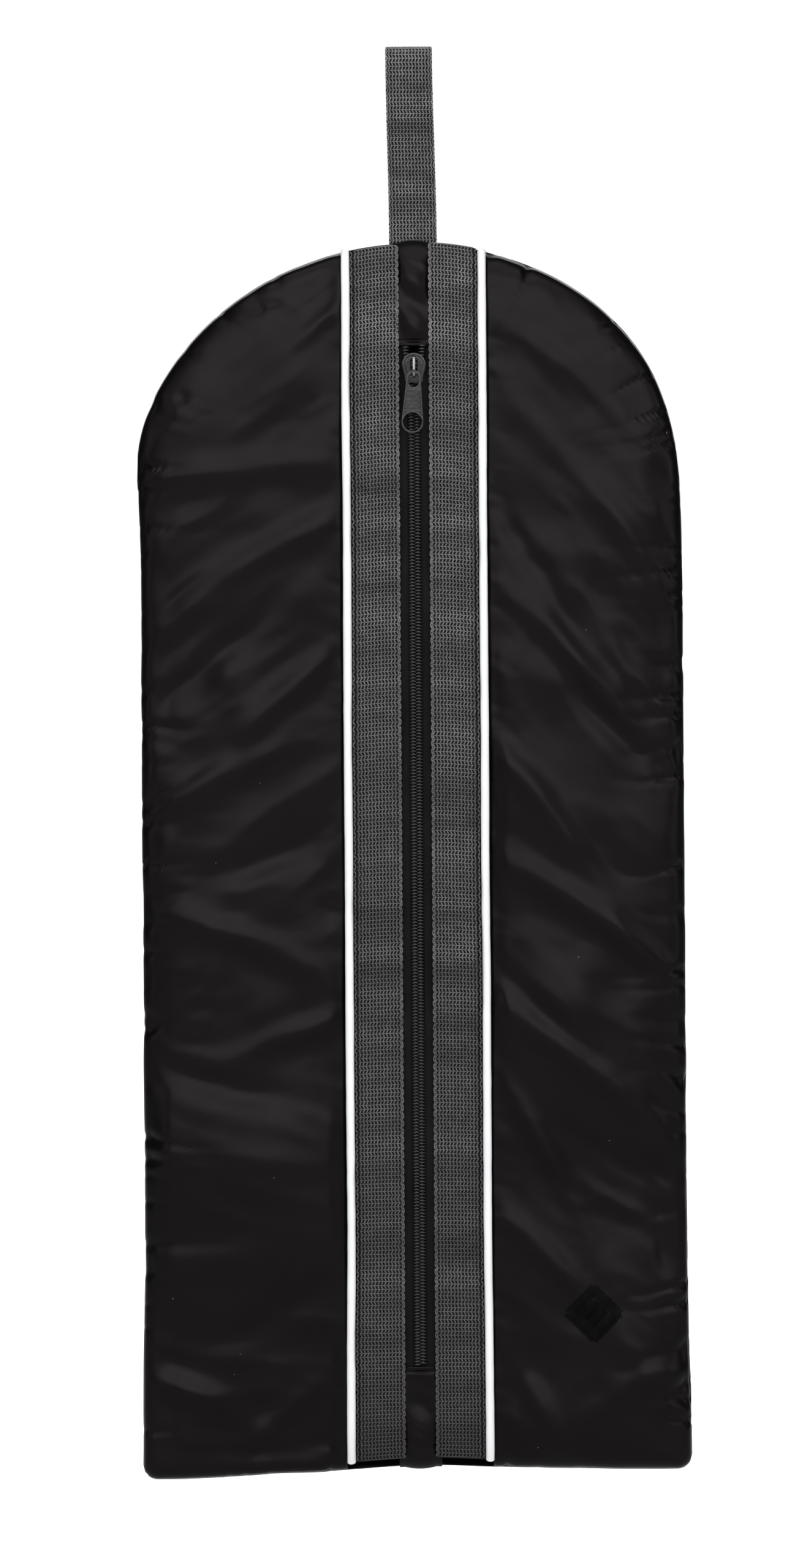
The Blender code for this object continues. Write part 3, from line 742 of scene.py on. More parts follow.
def clothRelax(name, start, cut, faces, pinned, feel):
    # lets the cut cloth settle between its sewn edges, at ten times life size
    scale = 0.01
    mesh = bpy.data.meshes.new(name)
    mesh.from_pydata((start * scale).tolist(), [], faces.tolist())
    obj = linked(name, mesh)
    sewn = obj.vertex_groups.new(name="sewn")
    sewn.add([int(i) for i in np.nonzero(pinned)[0]], 1.0, "REPLACE")
    obj.shape_key_add(name="Basis")
    key = obj.shape_key_add(name="cut")
    key.data.foreach_set("co", (cut * scale).reshape(-1))
    cloth = obj.modifiers.new("cloth", "CLOTH")
    settings = cloth.settings
    settings.quality = 6
    settings.mass = feel["mass"]
    settings.tension_stiffness = settings.compression_stiffness = feel["stretch"]
    settings.shear_stiffness = feel["shear"]
    settings.bending_stiffness = feel["bend"]
    settings.tension_damping = settings.compression_damping = settings.shear_damping = 8
    settings.bending_damping = 1.0
    settings.air_damping = 2.0
    settings.vertex_group_mass = "sewn"
    settings.rest_shape_key = key
    settings.effector_weights.gravity = 0
    settings.use_pressure = True
    settings.uniform_pressure_force = feel["pressure"]
    cloth.point_cache.frame_start, cloth.point_cache.frame_end = 1, feel["frames"]
    for step in range(1, feel["frames"] + 1):
        bpy.context.scene.frame_set(step)
    evaluated = obj.evaluated_get(bpy.context.evaluated_depsgraph_get())
    settled = meshPoints(evaluated.data) / scale
    drop(obj)
    bpy.context.scene.frame_set(1)
    return settled - start


def blurred(field, rounds):
    # evens a grid of values out over their neighbours
    for _ in range(rounds):
        for axis in (0, 1):
            wide = np.pad(field, [(1, 1) if k == axis else (0, 0) for k in range(3)], mode="edge")
            wide = np.moveaxis(wide, axis, 0)
            field = np.moveaxis((wide[:-2] + 2 * wide[1:-1] + wide[2:]) / 4, 0, axis)
    return field


def wrinklesOnly(moved, feel):
    # keeps the wrinkles of the settled cloth, and little of its general swelling, which the wadding holds down
    slow = blurred(moved, feel["blur"])
    wrinkles = (blurred(moved, feel["calm"]) - slow) * feel["keep"] + slow * feel["swell"]
    far = np.maximum(np.linalg.norm(wrinkles, axis=2, keepdims=True), 1e-6)
    return wrinkles * np.tanh(far / feel["cap"]) * feel["cap"] / far


clothFeel = {"mass": 0.2, "stretch": 20.0, "shear": 8.0, "bend": 0.25, "pressure": 0.35, "frames": 24, "cap": 1.6,
             "ease": 0.014, "drag": 3.0, "blur": 30, "calm": 3, "keep": 0.6, "swell": 0.1}


def clothPanel(name, side, mirror, inner, columns, rows, seed):
    look, form, feel = panelLook, bagForm, clothFeel
    x, z = (grid.reshape(-1) for grid in panelGrid(inner, columns, rows, mirror))
    faces = gridFaces(rows, columns)
    plain = onFace(x, z, 0 * x, side)
    normal = onFace(x, z, 0 * x + 1, side) - plain
    relief = largeRelief(x, z, side, seed) + smallRelief(x, z, side, seed)
    points = plain + normal * relief[:, None]
    simColumns = look["simColumns"] if inner else look["simColumns"] * 2
    simX, simZ = (g.reshape(-1) for g in panelGrid(inner, simColumns, look["simRows"], mirror))
    start = onFace(simX, simZ, largeRelief(simX, simZ, side, seed), side)
    border = np.zeros((look["simRows"], simColumns), bool)
    border[0, :] = border[-1, :] = border[:, 0] = border[:, -1] = True
    centre = np.array([mirror * 65.0 if inner else 0.0, 0.0, -330.0])
    cut = centre + (start - centre) * (1 + feel["ease"])
    cut[:, 2] += feel["drag"] * np.clip((np.abs(simX) - form["pipingAt"]) / 80, 0, 1) * (1 if inner else 0.4)
    simFaces = outwardFaces(start, gridFaces(look["simRows"], simColumns), side)
    moved = clothRelax(name + "Sim", start, cut, simFaces, border.reshape(-1), feel)
    moved = wrinklesOnly(moved.reshape(look["simRows"], simColumns, 3), feel)
    away = smoothStep(insetAt(x, z), 2, 16)[:, None]  # the turned seam holds the edge still
    points = points + finer(moved, rows, columns).reshape(-1, 3) * away
    least = 0.25 + 0.3 * np.clip(insetAt(x, z), 0, 12)  # keeps the front and the back apart
    points[:, 1] = side * np.maximum(side * points[:, 1], least)
    return points, outwardFaces(points, faces, side)


def offsetPoints(points, faces, distance):
    # moves a sheet's points against its normals
    normals = np.zeros_like(points)
    a, b, c, d = (points[faces[:, i]] for i in range(4))
    faceNormal = np.cross(c - a, d - b)
    for i in range(4):
        np.add.at(normals, faces[:, i], faceNormal)
    normals /= np.maximum(np.linalg.norm(normals, axis=1, keepdims=True), 1e-9)
    return points - normals * distance


def solidSheet(obj, thickness, inner=None):
    # gives a sheet its thickness inwards; inner is the slot of the material on its inside
    wall = obj.modifiers.new("wall", "SOLIDIFY")
    wall.thickness = thickness * mm
    wall.offset = -1
    if inner:
        wall.material_offset = inner
        wall.material_offset_rim = 0


def makePanel(name, quiltName, side, mirror, inner, columns, rows, seed, nodes):
    look = panelLook
    points, faces = clothPanel(name, side, mirror, inner, columns, rows, seed)
    shown = settle(scallop(points.copy(), seed if inner else 20))
    cover = newObject(name, shown, faces, [satinNylon], smooth=None)
    solidSheet(cover, look["thickness"])
    onBody(cover, "bag", "black_satin", nodes[0])
    inside = offsetPoints(shown, faces, look["quiltUnder"]).reshape(rows, columns, 3)
    inside = inside[4:-4, 5 if inner is None else 2:-5]  # the quilt stops short of the seams
    quiltFaces = outwardFaces(inside.reshape(-1, 3), gridFaces(*inside.shape[:2]), side)
    quilt = newObject(quiltName, inside.reshape(-1, 3), quiltFaces, [quiltWadding, plainLining], smooth=None)
    solidSheet(quilt, look["quilting"], inner=1)
    onBody(quilt, "bag", "lining", *nodes[1:])
    return cover


def makeFrontHalf(word, mirror, seed):
    look, hand = panelLook, word.lower()
    return makePanel(f"frontCover{word}", f"frontQuilt{word}", -1, mirror, look["frontInner"], look["columns"],
                     look["rows"], seed, [f"front_{layer}_{hand}" for layer in ("panel", "padding", "lining")])


makeFrontHalf("Left", -1, 20)
frontRight = makeFrontHalf("Right", 1, 21)
print("front halves made")
makePanel("backCover", "backQuilt", 1, 1, None, panelLook["backColumns"], panelLook["backRows"], 22,
          ["back_panel", "back_padding", "back_lining"])
print("back made")


# seam allowance inside the edge
seamLook = {"half": 0.22, "outer": 3.0, "inner": 9.0, "ripple": 0.5, "loopGap": 10.5}


def makeSeam():
    form, look = bagForm, seamLook
    xs = form["halfWidth"] * np.sin(np.linspace(0, math.pi / 2, 40))
    right = [(x, topEdge(x)) for x in xs if x > look["loopGap"]]
    right += [(form["halfWidth"], z) for z in np.linspace(form["top"] - form["archRise"] - 4, form["bottom"] + 8, 60)]
    right += [(form["halfWidth"] - 2, form["bottom"] + 2)]
    right += [(x, form["bottom"]) for x in np.linspace(form["halfWidth"] - 8, 0, 24)]
    outline = np.array(right + [(-x, z) for x, z in right[:-1][::-1]])
    rings = []
    for i, (x, z) in enumerate(outline):
        along = outline[min(i + 1, len(outline) - 1)] - outline[max(i - 1, 0)]
        inward = np.array([along[1], -along[0]]) / max(np.hypot(*along), 1e-6)
        first, last = (np.array([x, z]) + inward * look[key] for key in ("outer", "inner"))
        wave = look["ripple"] * math.sin(i * 1.7)
        rings.append([(first[0], -look["half"], first[1]), (first[0], look["half"], first[1]),
                      (last[0], look["half"] + wave, last[1]), (last[0], -look["half"] + wave, last[1])])
    points, faces = closedTube(rings)
    seam = facingOut(newObject("seamAllowance", settle(points), faces, [seamBinding]))
    onBody(seam, "bag", "binding", "perimeter_seam")


makeSeam()


# webbing
webbing = {
    "width": 19.6,
    "inner": 6.0,
    "columns": 13,
    "columnPitch": 1.38,
    "rowPitch": 1.6,
    "slant": 26.0,
    "floatLength": 1.85,
    "floatWidth": 0.62,
    "floatHeight": 0.48,
    "pickWidth": 0.4,
    "pickHeight": 0.36,
    "pickShort": 1.0,
    "selvageIn": 0.42,  # middle of the woven edge, in from the strip's side
    "edgeBand": 0.9,  # the darker woven edge beside the piping
    "stitchPitch": 2.7,
    "stitchAt": 7.9,
    "stitchLift": 0.34,
    "ground": 0.75,  # thickness of the ground weave
    "lift": 1.0,  # underside of the strips above the cloth face
    "wave": 1.2,
    "endTrim": 6.0,  # how much shorter a strip is than the bag, and then how much of each end is kept back
    "footTrim": {-1: 5.0, 1: 5.4},
    "topTrim": {-1: 1.7, 1: 0.6},
}


def webbingField(name, length, seed, darkSide):
    # floats, picks and woven edges laid out flat: X across, Y along, Z up from the ground weave
    w = webbing
    rows = int(length / w["rowPitch"])
    band = w["edgeBand"] if darkSide else 0.0
    grain = pod("floatGrain", w["floatLength"], w["floatWidth"], w["floatHeight"], 3, 5, tip=0.42, sink=0.02)
    floats = rowsOf(name + "Floats", grain, webbingYarn, w["columns"], rows, w["columnPitch"], w["rowPitch"],
                    slant=w["slant"], slantJitter=5.0, sizeJitter=0.06, seed=seed)
    pick = pod("pick", w["width"] - band - w["pickShort"], w["pickWidth"], w["pickHeight"], 6, 5, tip=0.85)
    flat = meshPoints(pick.data)
    setPoints(pick.data, np.stack([flat[:, 1], -flat[:, 0], flat[:, 2]], -1))
    picks = rowsOf(name + "Picks", pick, webbingYarn, 1, rows + 1, 0.0, w["rowPitch"], sizeJitter=0.03, seed=seed + 1)
    parts = [shifted(floats, -band / 2), shifted(picks, -band / 2)]
    bump = pod("selvageGrain", 1.7, 0.75, 0.36, 2, 5, tip=0.5)
    for mirror in (-1, 1):
        yarn = webbingEdge if darkSide and mirror > 0 else webbingYarn
        edge = rowsOf(name + "Selvage", bump, yarn, 1, rows, 0.0, w["rowPitch"], slant=22.0, slantJitter=8.0,
                      sizeJitter=0.08, seed=seed + 3)
        parts.append(shifted(edge, mirror * (w["width"] / 2 - w["selvageIn"])))
    drop(grain, pick, bump)
    return parts


def wrapField(obj, place):
    # moves a flat field onto a surface: place takes across, along and height
    points = meshPoints(obj.data)
    setPoints(obj.data, place(points[:, 0], points[:, 1], points[:, 2]) * mm)


def slab(name, place, width, length, thickness, columns, rows, material):
    # a closed strip with rounded edges on the same surface
    across = np.linspace(-width / 2, width / 2, columns)
    rounding = np.sqrt(np.clip(1 - (np.abs(across) / (width / 2)) ** 8, 0, 1))
    rings = []
    for along in np.linspace(-length / 2, length / 2, rows):
        top = place(across, np.full(columns, along), thickness * (rounding - 1) * 0.5)
        low = place(across[::-1], np.full(columns, along), -thickness + thickness * (1 - rounding[::-1]) * 0.5)
        rings.append(np.concatenate([top, low]))
    points, faces = closedTube(rings)
    return facingOut(newObject(name, points, faces, [material]))


def stripPlace(mirror):
    form, w = bagForm, webbing
    middle = w["inner"] + w["width"] / 2

    def place(across, along, height):
        x = mirror * (middle + across)
        low, high = bottomEdge(x) + w["footTrim"][mirror], topEdge(x) - w["topTrim"][mirror]
        share = along / (form["top"] - form["bottom"] - w["endTrim"]) + 0.5
        z = low + (high - low) * share
        wave = patchNoise(z / 9, mirror * 5.0 + across / 30, 31) + 0.8 * patchNoise(z / 23, mirror * 9.0, 32)
        inset = insetAt(x, z)
        lift = w["lift"] * smoothStep(inset, 0, 9) + w["ground"] + height + w["wave"] * wave * smoothStep(inset, 4, 20)
        return settle(onFace(x, z, lift))

    return place


def makeStrip(name, mirror, node):
    w = webbing
    length = bagForm["top"] - bagForm["bottom"] - w["endTrim"]
    place = stripPlace(mirror)
    parts = webbingField(name, length, 5 + mirror, True)
    stitch = pod("edgeStitch", 2.1, 0.42, 0.22, 2, 5, tip=0.5)
    count = int(length / w["stitchPitch"])
    run = rowsOf(name + "Stitch", stitch, stitchThread, 1, count, 0.0, w["stitchPitch"], seed=2)
    drop(stitch)
    parts.append(shifted(run, w["stitchAt"], w["stitchLift"]))
    for part in parts:
        wrapField(part, place)
    parts.insert(-1, slab(name + "Ground", place, w["width"], length, w["ground"], 15, 230, webbingGround))
    strip = joined(name, parts)
    strip.data.shade_smooth()
    onBody(strip, "bag", "grey_webbing", node)


makeStrip("webbingStripLeft", -1, "webbing_strip_left")
makeStrip("webbingStripRight", 1, "webbing_strip_right")
print("webbing strips made")


# hanging loop
loopLook = {"halfGap": 4.9, "foldZ": -77.4, "tailEnd": -90.0, "lean": -1.3, "thickness": 1.15,
            "narrower": 0.985}


def loopPath():
    # the strap's middle line in Y and Z, from the sewn front end over the top to the sewn back end
    look = loopLook
    half = look["thickness"] / 2
    heights = np.linspace(look["foldZ"] + 1.0, -look["halfGap"], 30)
    share = (heights - heights[0]) / (heights[-1] - heights[0])
    spread = half + 0.05 + (look["halfGap"] - 0.05) * np.sin(share * math.pi / 2) ** 1.3
    front = [(-half - 0.05, z) for z in np.linspace(look["tailEnd"], look["foldZ"], 8)]
    front += list(zip(-spread, heights))
    angles = np.linspace(math.pi, 0, 16)[1:-1]
    top = [((look["halfGap"] + half) * math.cos(a), -look["halfGap"] + (look["halfGap"] + half) * math.sin(a))
           for a in angles]
    return np.array(front + top + [(-y, z) for y, z in front[::-1]])


def loopPlace(outward):
    path = loopPath()
    steps = np.hypot(*np.diff(path, axis=0).T)
    length = np.concatenate([[0], np.cumsum(steps)])
    total = length[-1]

    def place(across, along, height):
        s = np.clip(along + total / 2, 0, total)
        y, z = np.interp(s, length, path[:, 0]), np.interp(s, length, path[:, 1])
        ahead, behind = np.clip(s + 0.8, 0, total), np.clip(s - 0.8, 0, total)
        dy = np.interp(ahead, length, path[:, 0]) - np.interp(behind, length, path[:, 0])
        dz = np.interp(ahead, length, path[:, 1]) - np.interp(behind, length, path[:, 1])
        size = np.maximum(np.hypot(dy, dz), 1e-6)
        out = outward * height
        x = across * outward + loopLook["lean"] * smoothStep(z, loopLook["foldZ"], 0)
        x = x * (1 - 0.02 * smoothStep(z, loopLook["foldZ"], 0))
        return np.stack([x, y - out * dz / size, z + out * dy / size], -1)

    return place, total


def makeLoop():
    w, rise = webbing, loopLook["thickness"] / 2 - 0.2  # half of the ground weave, which the yarn stands on
    parts = []
    for number, outward in enumerate((1, -1)):
        place, total = loopPlace(outward)
        fields = webbingField(f"loop{number}", total - 1.0, 60 + number, False)
        for part in fields:
            setPoints(part.data, meshPoints(part.data) * (loopLook["narrower"], 1.0, 1.0))
            wrapField(shifted(part, 0.0, rise), place)
        parts += fields
    place, total = loopPlace(1)
    parts.append(slab("loopGround", lambda a, s, h: place(a, s, h + rise), w["width"] * loopLook["narrower"],
                      total - 0.5, 2 * rise, 11, 110, webbingGround))
    strap = facingOut(joined("hangingStrap", parts))
    strap.data.shade_smooth()
    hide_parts("hang_loop", "loop_tail")
    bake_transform(strap)


makeLoop()
print("hanging loop made")


# piping
pipingLook = {"radius": 1.72, "flatness": 0.92, "centreLift": 0.75, "footTrim": 4.6, "topTrim": 1.6,
              "sides": 12, "rows": 330}


def makePiping(name, mirror, nodes):
    form, look = bagForm, pipingLook
    x = mirror * form["pipingAt"]
    low, high = bottomEdge(x) + look["footTrim"], topEdge(x) - look["topTrim"]
    angles = np.linspace(0, 2 * math.pi, look["sides"], endpoint=False)
    rings = []
    for z in np.linspace(low, high, look["rows"]):
        radius = look["radius"] * (1 + 0.03 * float(patchNoise(z / 6, mirror * 8.0, 71)))
        lift = look["centreLift"] + 0.12 * float(patchNoise(z / 30, mirror * 2.0, 72))
        across, height = radius * np.cos(angles), radius * np.sin(angles) * look["flatness"]
        rings.append(onFace(x + across, np.full(look["sides"], z), lift + height))
    points, faces = closedTube(rings)
    cover = facingOut(newObject(name, settle(points), faces, [pipingSatin]))
    onBody(cover, "bag", "white_piping", *nodes)


makePiping("pipingLeft", -1, ["piping_cover_left", "piping_cord_left"])
makePiping("pipingRight", 1, ["piping_cover_right", "piping_cord_right"])


# fabric patches above and below the zip
patchLook = {"half": 8.5, "lift": 0.3, "rise": 0.9, "crown": 6.3, "thickness": 0.5, "columns": 31, "rows": 110,
             "folds": 2.0, "smallFolds": 0.3, "slope": 0.5, "hem": 0.7, "hemGroove": 0.9, "turning": 0.002,
             "topReach": 2.2, "bottomReach": 3.3}  # how far the folded hems reach past the cut edges
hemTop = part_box("zip_end_patch_top")[0][2] / mm - patchLook["topReach"]
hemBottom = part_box("zip_end_patch_bottom")[1][2] / mm + patchLook["bottomReach"]


def makePatch(name, node, low, high, seed):
    # low or high is the hem's height, and the end without one lies along the bag's own edge
    look = patchLook
    hemEnd = high if low is None else low
    x = np.linspace(-look["half"], look["half"], look["columns"])
    share = np.linspace(0, 1, look["rows"])
    gridX = np.repeat(x[None, :], look["rows"], 0)
    lowZ = bottomEdge(x) + 0.1 if low is None else np.full_like(x, low)
    highZ = topEdge(x) - 0.1 if high is None else np.full_like(x, high)
    gridZ = lowZ[None, :] + (highZ - lowZ)[None, :] * share[:, None]
    away = np.abs(gridZ - hemEnd)
    slanted = gridZ + look["slope"] * gridX
    folds = look["folds"] * patchNoise(slanted / 8, gridX / 16, seed)
    folds = folds + look["smallFolds"] * patchNoise(slanted / 3.6, gridX / 9, seed + 1)
    calm = smoothStep(away, 2.5, 6) * smoothStep(insetAt(gridX, gridZ), 2, 10)
    hem = look["hem"] * np.exp(-(((away - 0.75) / 0.6) ** 2))
    hem = hem - look["hemGroove"] * np.exp(-(((away - 2.4) / 0.5) ** 2))
    middle = 1 - np.clip(np.abs(gridX) / look["crown"], 0, 1) ** 2
    lift = look["lift"] + (look["rise"] + folds * calm + hem) * middle
    points = onFace(gridX.reshape(-1), gridZ.reshape(-1), lift.reshape(-1))
    faces = outwardFaces(points, gridFaces(look["rows"], look["columns"]), -1)
    patch = newObject(name, settle(points), faces, [satinNylon], smooth=None)
    solidSheet(patch, look["thickness"])
    onBody(patch, "bag", "black_satin", node)


makePatch("zipPatchTop", "zip_end_patch_top", hemTop, None, 81)
makePatch("zipPatchBottom", "zip_end_patch_bottom", None, hemBottom, 83)
print("piping and patches made")


# zip
zipLook = {
    "pitch": 1.29,
    "wire": 0.3,
    "chainHalf": 2.85,
    "tapeDepth": 11.5,
    "tapeThickness": 0.45,
    "tapeOuter": 13.5,
    "middleZ": -328.0,
    "lowerOpening": 18.0,  # length over which the lips part above the bottom patch
    "sliderTop": -125.0,
    "parted": 2.15,
    "partingLength": 9.0,
}


def zipSpread(z):
    # how far each side of the chain has parted inside the slider and above it
    return zipLook["parted"] * smoothStep(z, zipLook["sliderTop"] - zipLook["partingLength"], zipLook["sliderTop"])


def onLip(piece, word, part, node):
    # a length of zip: its placing is baked in, and for the upper length the CAD node of that side is hidden
    hand = word.lower()
    if part == "Upper":
        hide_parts(f"{node}_{hand}")
    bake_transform(piece)


def coilTurn():
    # one turn of the nylon coil, lying across X with its heads towards +X
    pitch, wire, half = zipLook["pitch"], zipLook["wire"], zipLook["chainHalf"]
    line = [(-half + 0.75, -0.48, -0.30), (-half + wire, -0.1, -0.22), (-half + 0.6, 0.5, -0.06),
            (-1.35, 0.66, 0.08), (-0.2, 0.55, 0.0), (0.28, 0.1, 0.04), (-0.1, -0.5, 0.16),
            (-1.3, -0.6, 0.55), (-half + 0.75, -0.48, pitch - 0.30)]
    rings = []
    for i, point in enumerate(line):
        here = Vector(point)
        along = (Vector(line[min(i + 1, len(line) - 1)]) - Vector(line[max(i - 1, 0)])).normalized()
        if i in (0, len(line) - 1):
            along = Vector((-0.6, 0.5, 0.15)).normalized()
        sideways = along.cross(Vector((0, 0, 1))).normalized()
        upward = sideways.cross(along).normalized()
        ring = []
        for k in range(5):
            angle = 2 * math.pi * k / 5
            p = here + wire * (sideways * math.cos(angle) + upward * math.sin(angle) * 1.05)
            ring.append((p.x, p.z, p.y))  # flat field: X across, Y along, Z up
        rings.append(ring)
    return loosePiece("coilTurn", rings)


def makeCoils(turn):
    look = zipLook
    ends = {"Upper": (hemTop, look["middleZ"]), "Lower": (look["middleZ"], hemBottom)}
    for mirror, word in ((-1, "Left"), (1, "Right")):
        for part, (high, low) in ends.items():
            rows = round((high - low) / look["pitch"])
            coil = rowsOf(f"coil{word}{part}", turn, coilNylon, 1, rows, 0.0, look["pitch"])
            points = meshPoints(coil.data)
            z = points[:, 1] + (high + low) / 2 + (0.5 * look["pitch"] if mirror > 0 else 0)
            x = points[:, 0] * -mirror + mirror * zipSpread(z)
            depth = look["tapeDepth"] + 1.15 + points[:, 2]
            setPoints(coil.data, np.stack([x, -depth, z], -1) * mm)
            onLip(facingOut(coil), word, part, "zip_coil")


def makeTapes():
    look = zipLook
    for mirror, word in ((-1, "Left"), (1, "Right")):
        for part, high, low in (("Upper", hemTop + 5, look["middleZ"]), ("Lower", look["middleZ"], hemBottom - 5)):
            rings = []
            for z in np.linspace(low, high, 90):
                inner = 0.2 + zipSpread(z)
                across = inner + (look["tapeOuter"] - inner) * np.linspace(0, 1, 14)
                rib = 0.1 * np.exp(-(((across - 3.6) / 0.5) ** 2)) + 0.08 * np.exp(-(((across - inner) / 0.5) ** 2))
                top = [(mirror * x, -(look["tapeDepth"] + r), z) for x, r in zip(across, rib)]
                back = [(mirror * x, -(look["tapeDepth"] - look["tapeThickness"]), z) for x in across[::-1]]
                rings.append(top + back)
            points, faces = closedTube(rings)
            tape = facingOut(newObject(f"zipTape{word}{part}", points, faces, [tapeTwill]))
            onLip(tape, word, part, "zip_tape")


turn = coilTurn()
makeCoils(turn)
drop(turn)
makeTapes()
print("zip made")


# slider and pull
# outlines are lists of (across, down) from the slider's top, and depths are measured out from the bag's middle
sliderLook = {
    "top": -125.0,
    "slope": 0.06,  # the top plate lies this much further back for every millimetre down
    "level": 4.0,  # and is at its given depth this far down
    "plateFace": 15.0,
    "plate": 1.0,
    "lowerFace": 10.7,
    "railDepth": 13.05,
    "railHeight": 2.3,
    "outline": [(1.2, -0.1), (3.7, 1.1), (5.1, 4.3), (4.5, 6.8), (3.85, 9.0), (3.8, 11.4), (3.1, 12.1)],
    "waist": [(1.0, 1.3), (2.9, 2.4), (3.7, 4.6), (3.1, 6.8), (2.5, 9.2), (2.4, 10.9), (1.9, 11.4)],
    "post": [(0.3, 0.4), (0.75, 1.5), (0.35, 3.0), (0.1, 3.8)],
    "slot": [(-1.25, 3.0), (-1.25, 8.6), (-0.8, 9.2), (0.8, 9.2), (1.25, 8.6), (1.25, 3.0), (0.8, 2.5), (-0.8, 2.5)],
    "rail": [(4.75, 4.6), (4.5, 6.6), (3.75, 9.1), (3.7, 11.5), (3.15, 11.5), (3.15, 9.0), (3.95, 6.5), (4.25, 4.6)],
}


def flatShape(name, outlines, depth, thickness, bevel, slope=0.0, pivot=0.0):
    # a plate from closed outlines (x, z), the later ones holes, with rounded edges; depth is its middle,
    # and it lies further back by slope for every millimetre below the pivot
    curve = bpy.data.curves.new(name, "CURVE")
    curve.dimensions, curve.fill_mode = "2D", "BOTH"
    for outline in outlines:
        spline = curve.splines.new("POLY")
        spline.points.add(len(outline) - 1)
        for point, (x, z) in zip(spline.points, outline):
            point.co = (x, z, 0, 1)
        spline.use_cyclic_u = True
    curve.extrude = thickness / 2 - bevel
    curve.bevel_depth, curve.bevel_resolution, curve.offset = bevel, 2, -bevel
    mesh = plainMesh(linked(name + "Curve", curve))
    points = meshPoints(mesh)
    back = slope * (pivot - points[:, 1])
    setPoints(mesh, np.stack([points[:, 0], back - points[:, 2] - depth, points[:, 1]], -1) * mm)
    plate = facingOut(finishedObject(name, mesh, [blackEnamel], smooth=None))
    plate.data.shade_flat()
    return plate


def arcPoints(centre, radius, start, end, count):
    angles = np.radians(np.linspace(start, end, count))
    return [(centre[0] + radius * math.cos(a), centre[1] + radius * math.sin(a)) for a in angles]


def smoothOutline(half, rounds=2):
    # a symmetrical outline from (x, drop) on its right, with its corners cut twice to round them
    look = sliderLook
    points = [np.array((x, look["top"] - d)) for x, d in half]
    points += [np.array((-x, look["top"] - d)) for x, d in reversed(half) if x > 0]
    for _ in range(rounds):
        cut = []
        for i, p in enumerate(points):
            q = points[(i + 1) % len(points)]
            cut += [p * 0.75 + q * 0.25, p * 0.25 + q * 0.75]
        points = cut
    return [tuple(p) for p in points]


def makeSlider():
    look = sliderLook
    outline, waist, post = (smoothOutline(look[key]) for key in ("outline", "waist", "post"))
    slot = [(x, look["top"] - d) for x, d in look["slot"]]
    tilt = {"slope": look["slope"], "pivot": look["top"] - look["level"]}
    middle = (look["plateFace"] + look["lowerFace"]) / 2
    parts = [
        flatShape("sliderTop", [outline, slot], look["plateFace"] - look["plate"] / 2, look["plate"], 0.4, **tilt),
        flatShape("sliderCrown", [waist, slot], look["plateFace"] + 0.1, 0.7, 0.3, **tilt),
        flatShape("sliderLow", [outline], look["lowerFace"] - 0.5, 0.8, 0.3),
        flatShape("sliderPost", [post], middle - 0.5, 4.2, 0.15),
    ]
    for mirror in (-1, 1):
        rail = [(mirror * x, look["top"] - d) for x, d in look["rail"]]
        parts.append(flatShape("sliderRail", [rail], look["railDepth"], look["railHeight"], 0.15))
    onBody(joined("zipSlider", parts), "zip_slider", "black_metal", "slider_body")


# the arched bridge that carries the pull
bailLook = {"foot": 14.9, "crown": 18.7, "halfWidth": 0.62, "upperWider": 0.25, "halfThick": 0.46, "sides": 12}


def makeBail():
    look = bailLook
    foot, crown = look["foot"], look["crown"]
    line = [(9.7, foot), (9.75, foot + 0.7), (9.6, crown - 0.9), (9.2, crown - 0.25), (8.4, crown), (6.8, crown + 0.05),
            (4.6, crown + 0.02), (3.0, crown - 0.05), (2.2, crown - 0.4), (1.8, crown - 1.0), (1.65, foot + 0.7),
            (1.6, foot)]
    rings = []
    for i, point in enumerate(line):
        before, after = np.array(line[max(i - 1, 0)]), np.array(line[min(i + 1, len(line) - 1)])
        along = (after - before) / np.linalg.norm(after - before)
        out = np.array([along[1], -along[0]])
        width = look["halfWidth"] + (look["upperWider"] if i > 7 else 0.0)
        ring = []
        for angle in np.arange(look["sides"]) * 2 * math.pi / look["sides"]:
            u = math.copysign(abs(math.cos(angle)) ** 0.8, math.cos(angle)) * width
            v = math.copysign(abs(math.sin(angle)) ** 0.6, math.sin(angle)) * look["halfThick"]
            down, depth = np.array(point) + out * v
            ring.append((u, -depth, sliderLook["top"] - down))
        rings.append(ring)
    points, faces = closedTube(rings)
    bail = facingOut(newObject("sliderBail", points, faces, [brightEnamel], smooth=60))
    onBody(bail, "zip_slider", "black_metal", "slider_bridge")


# the pull, whose outlines are (across, down) from its hinge
pullLook = {
    "hinge": -132.9,
    "face": 16.1,
    "thickness": 1.0,
    "length": 25.05,
    "lean": 2.0,  # degrees
    "slope": 0.045,
    "topRadius": 2.95,
    "tipRadius": 4.5,
    "rise": 0.85,  # how far the top stands above the hinge
    "holeAt": 20.1,
    "holeRadius": 3.8,
    "collarRadius": 4.5,
    "panel": [(-2.45, 7.5), (2.45, 7.5), (3.2, 15.2), (-3.2, 15.2)],
    "rim": [(-3.05, 6.8), (3.05, 6.8), (3.95, 16.0), (-3.95, 16.0)],
}


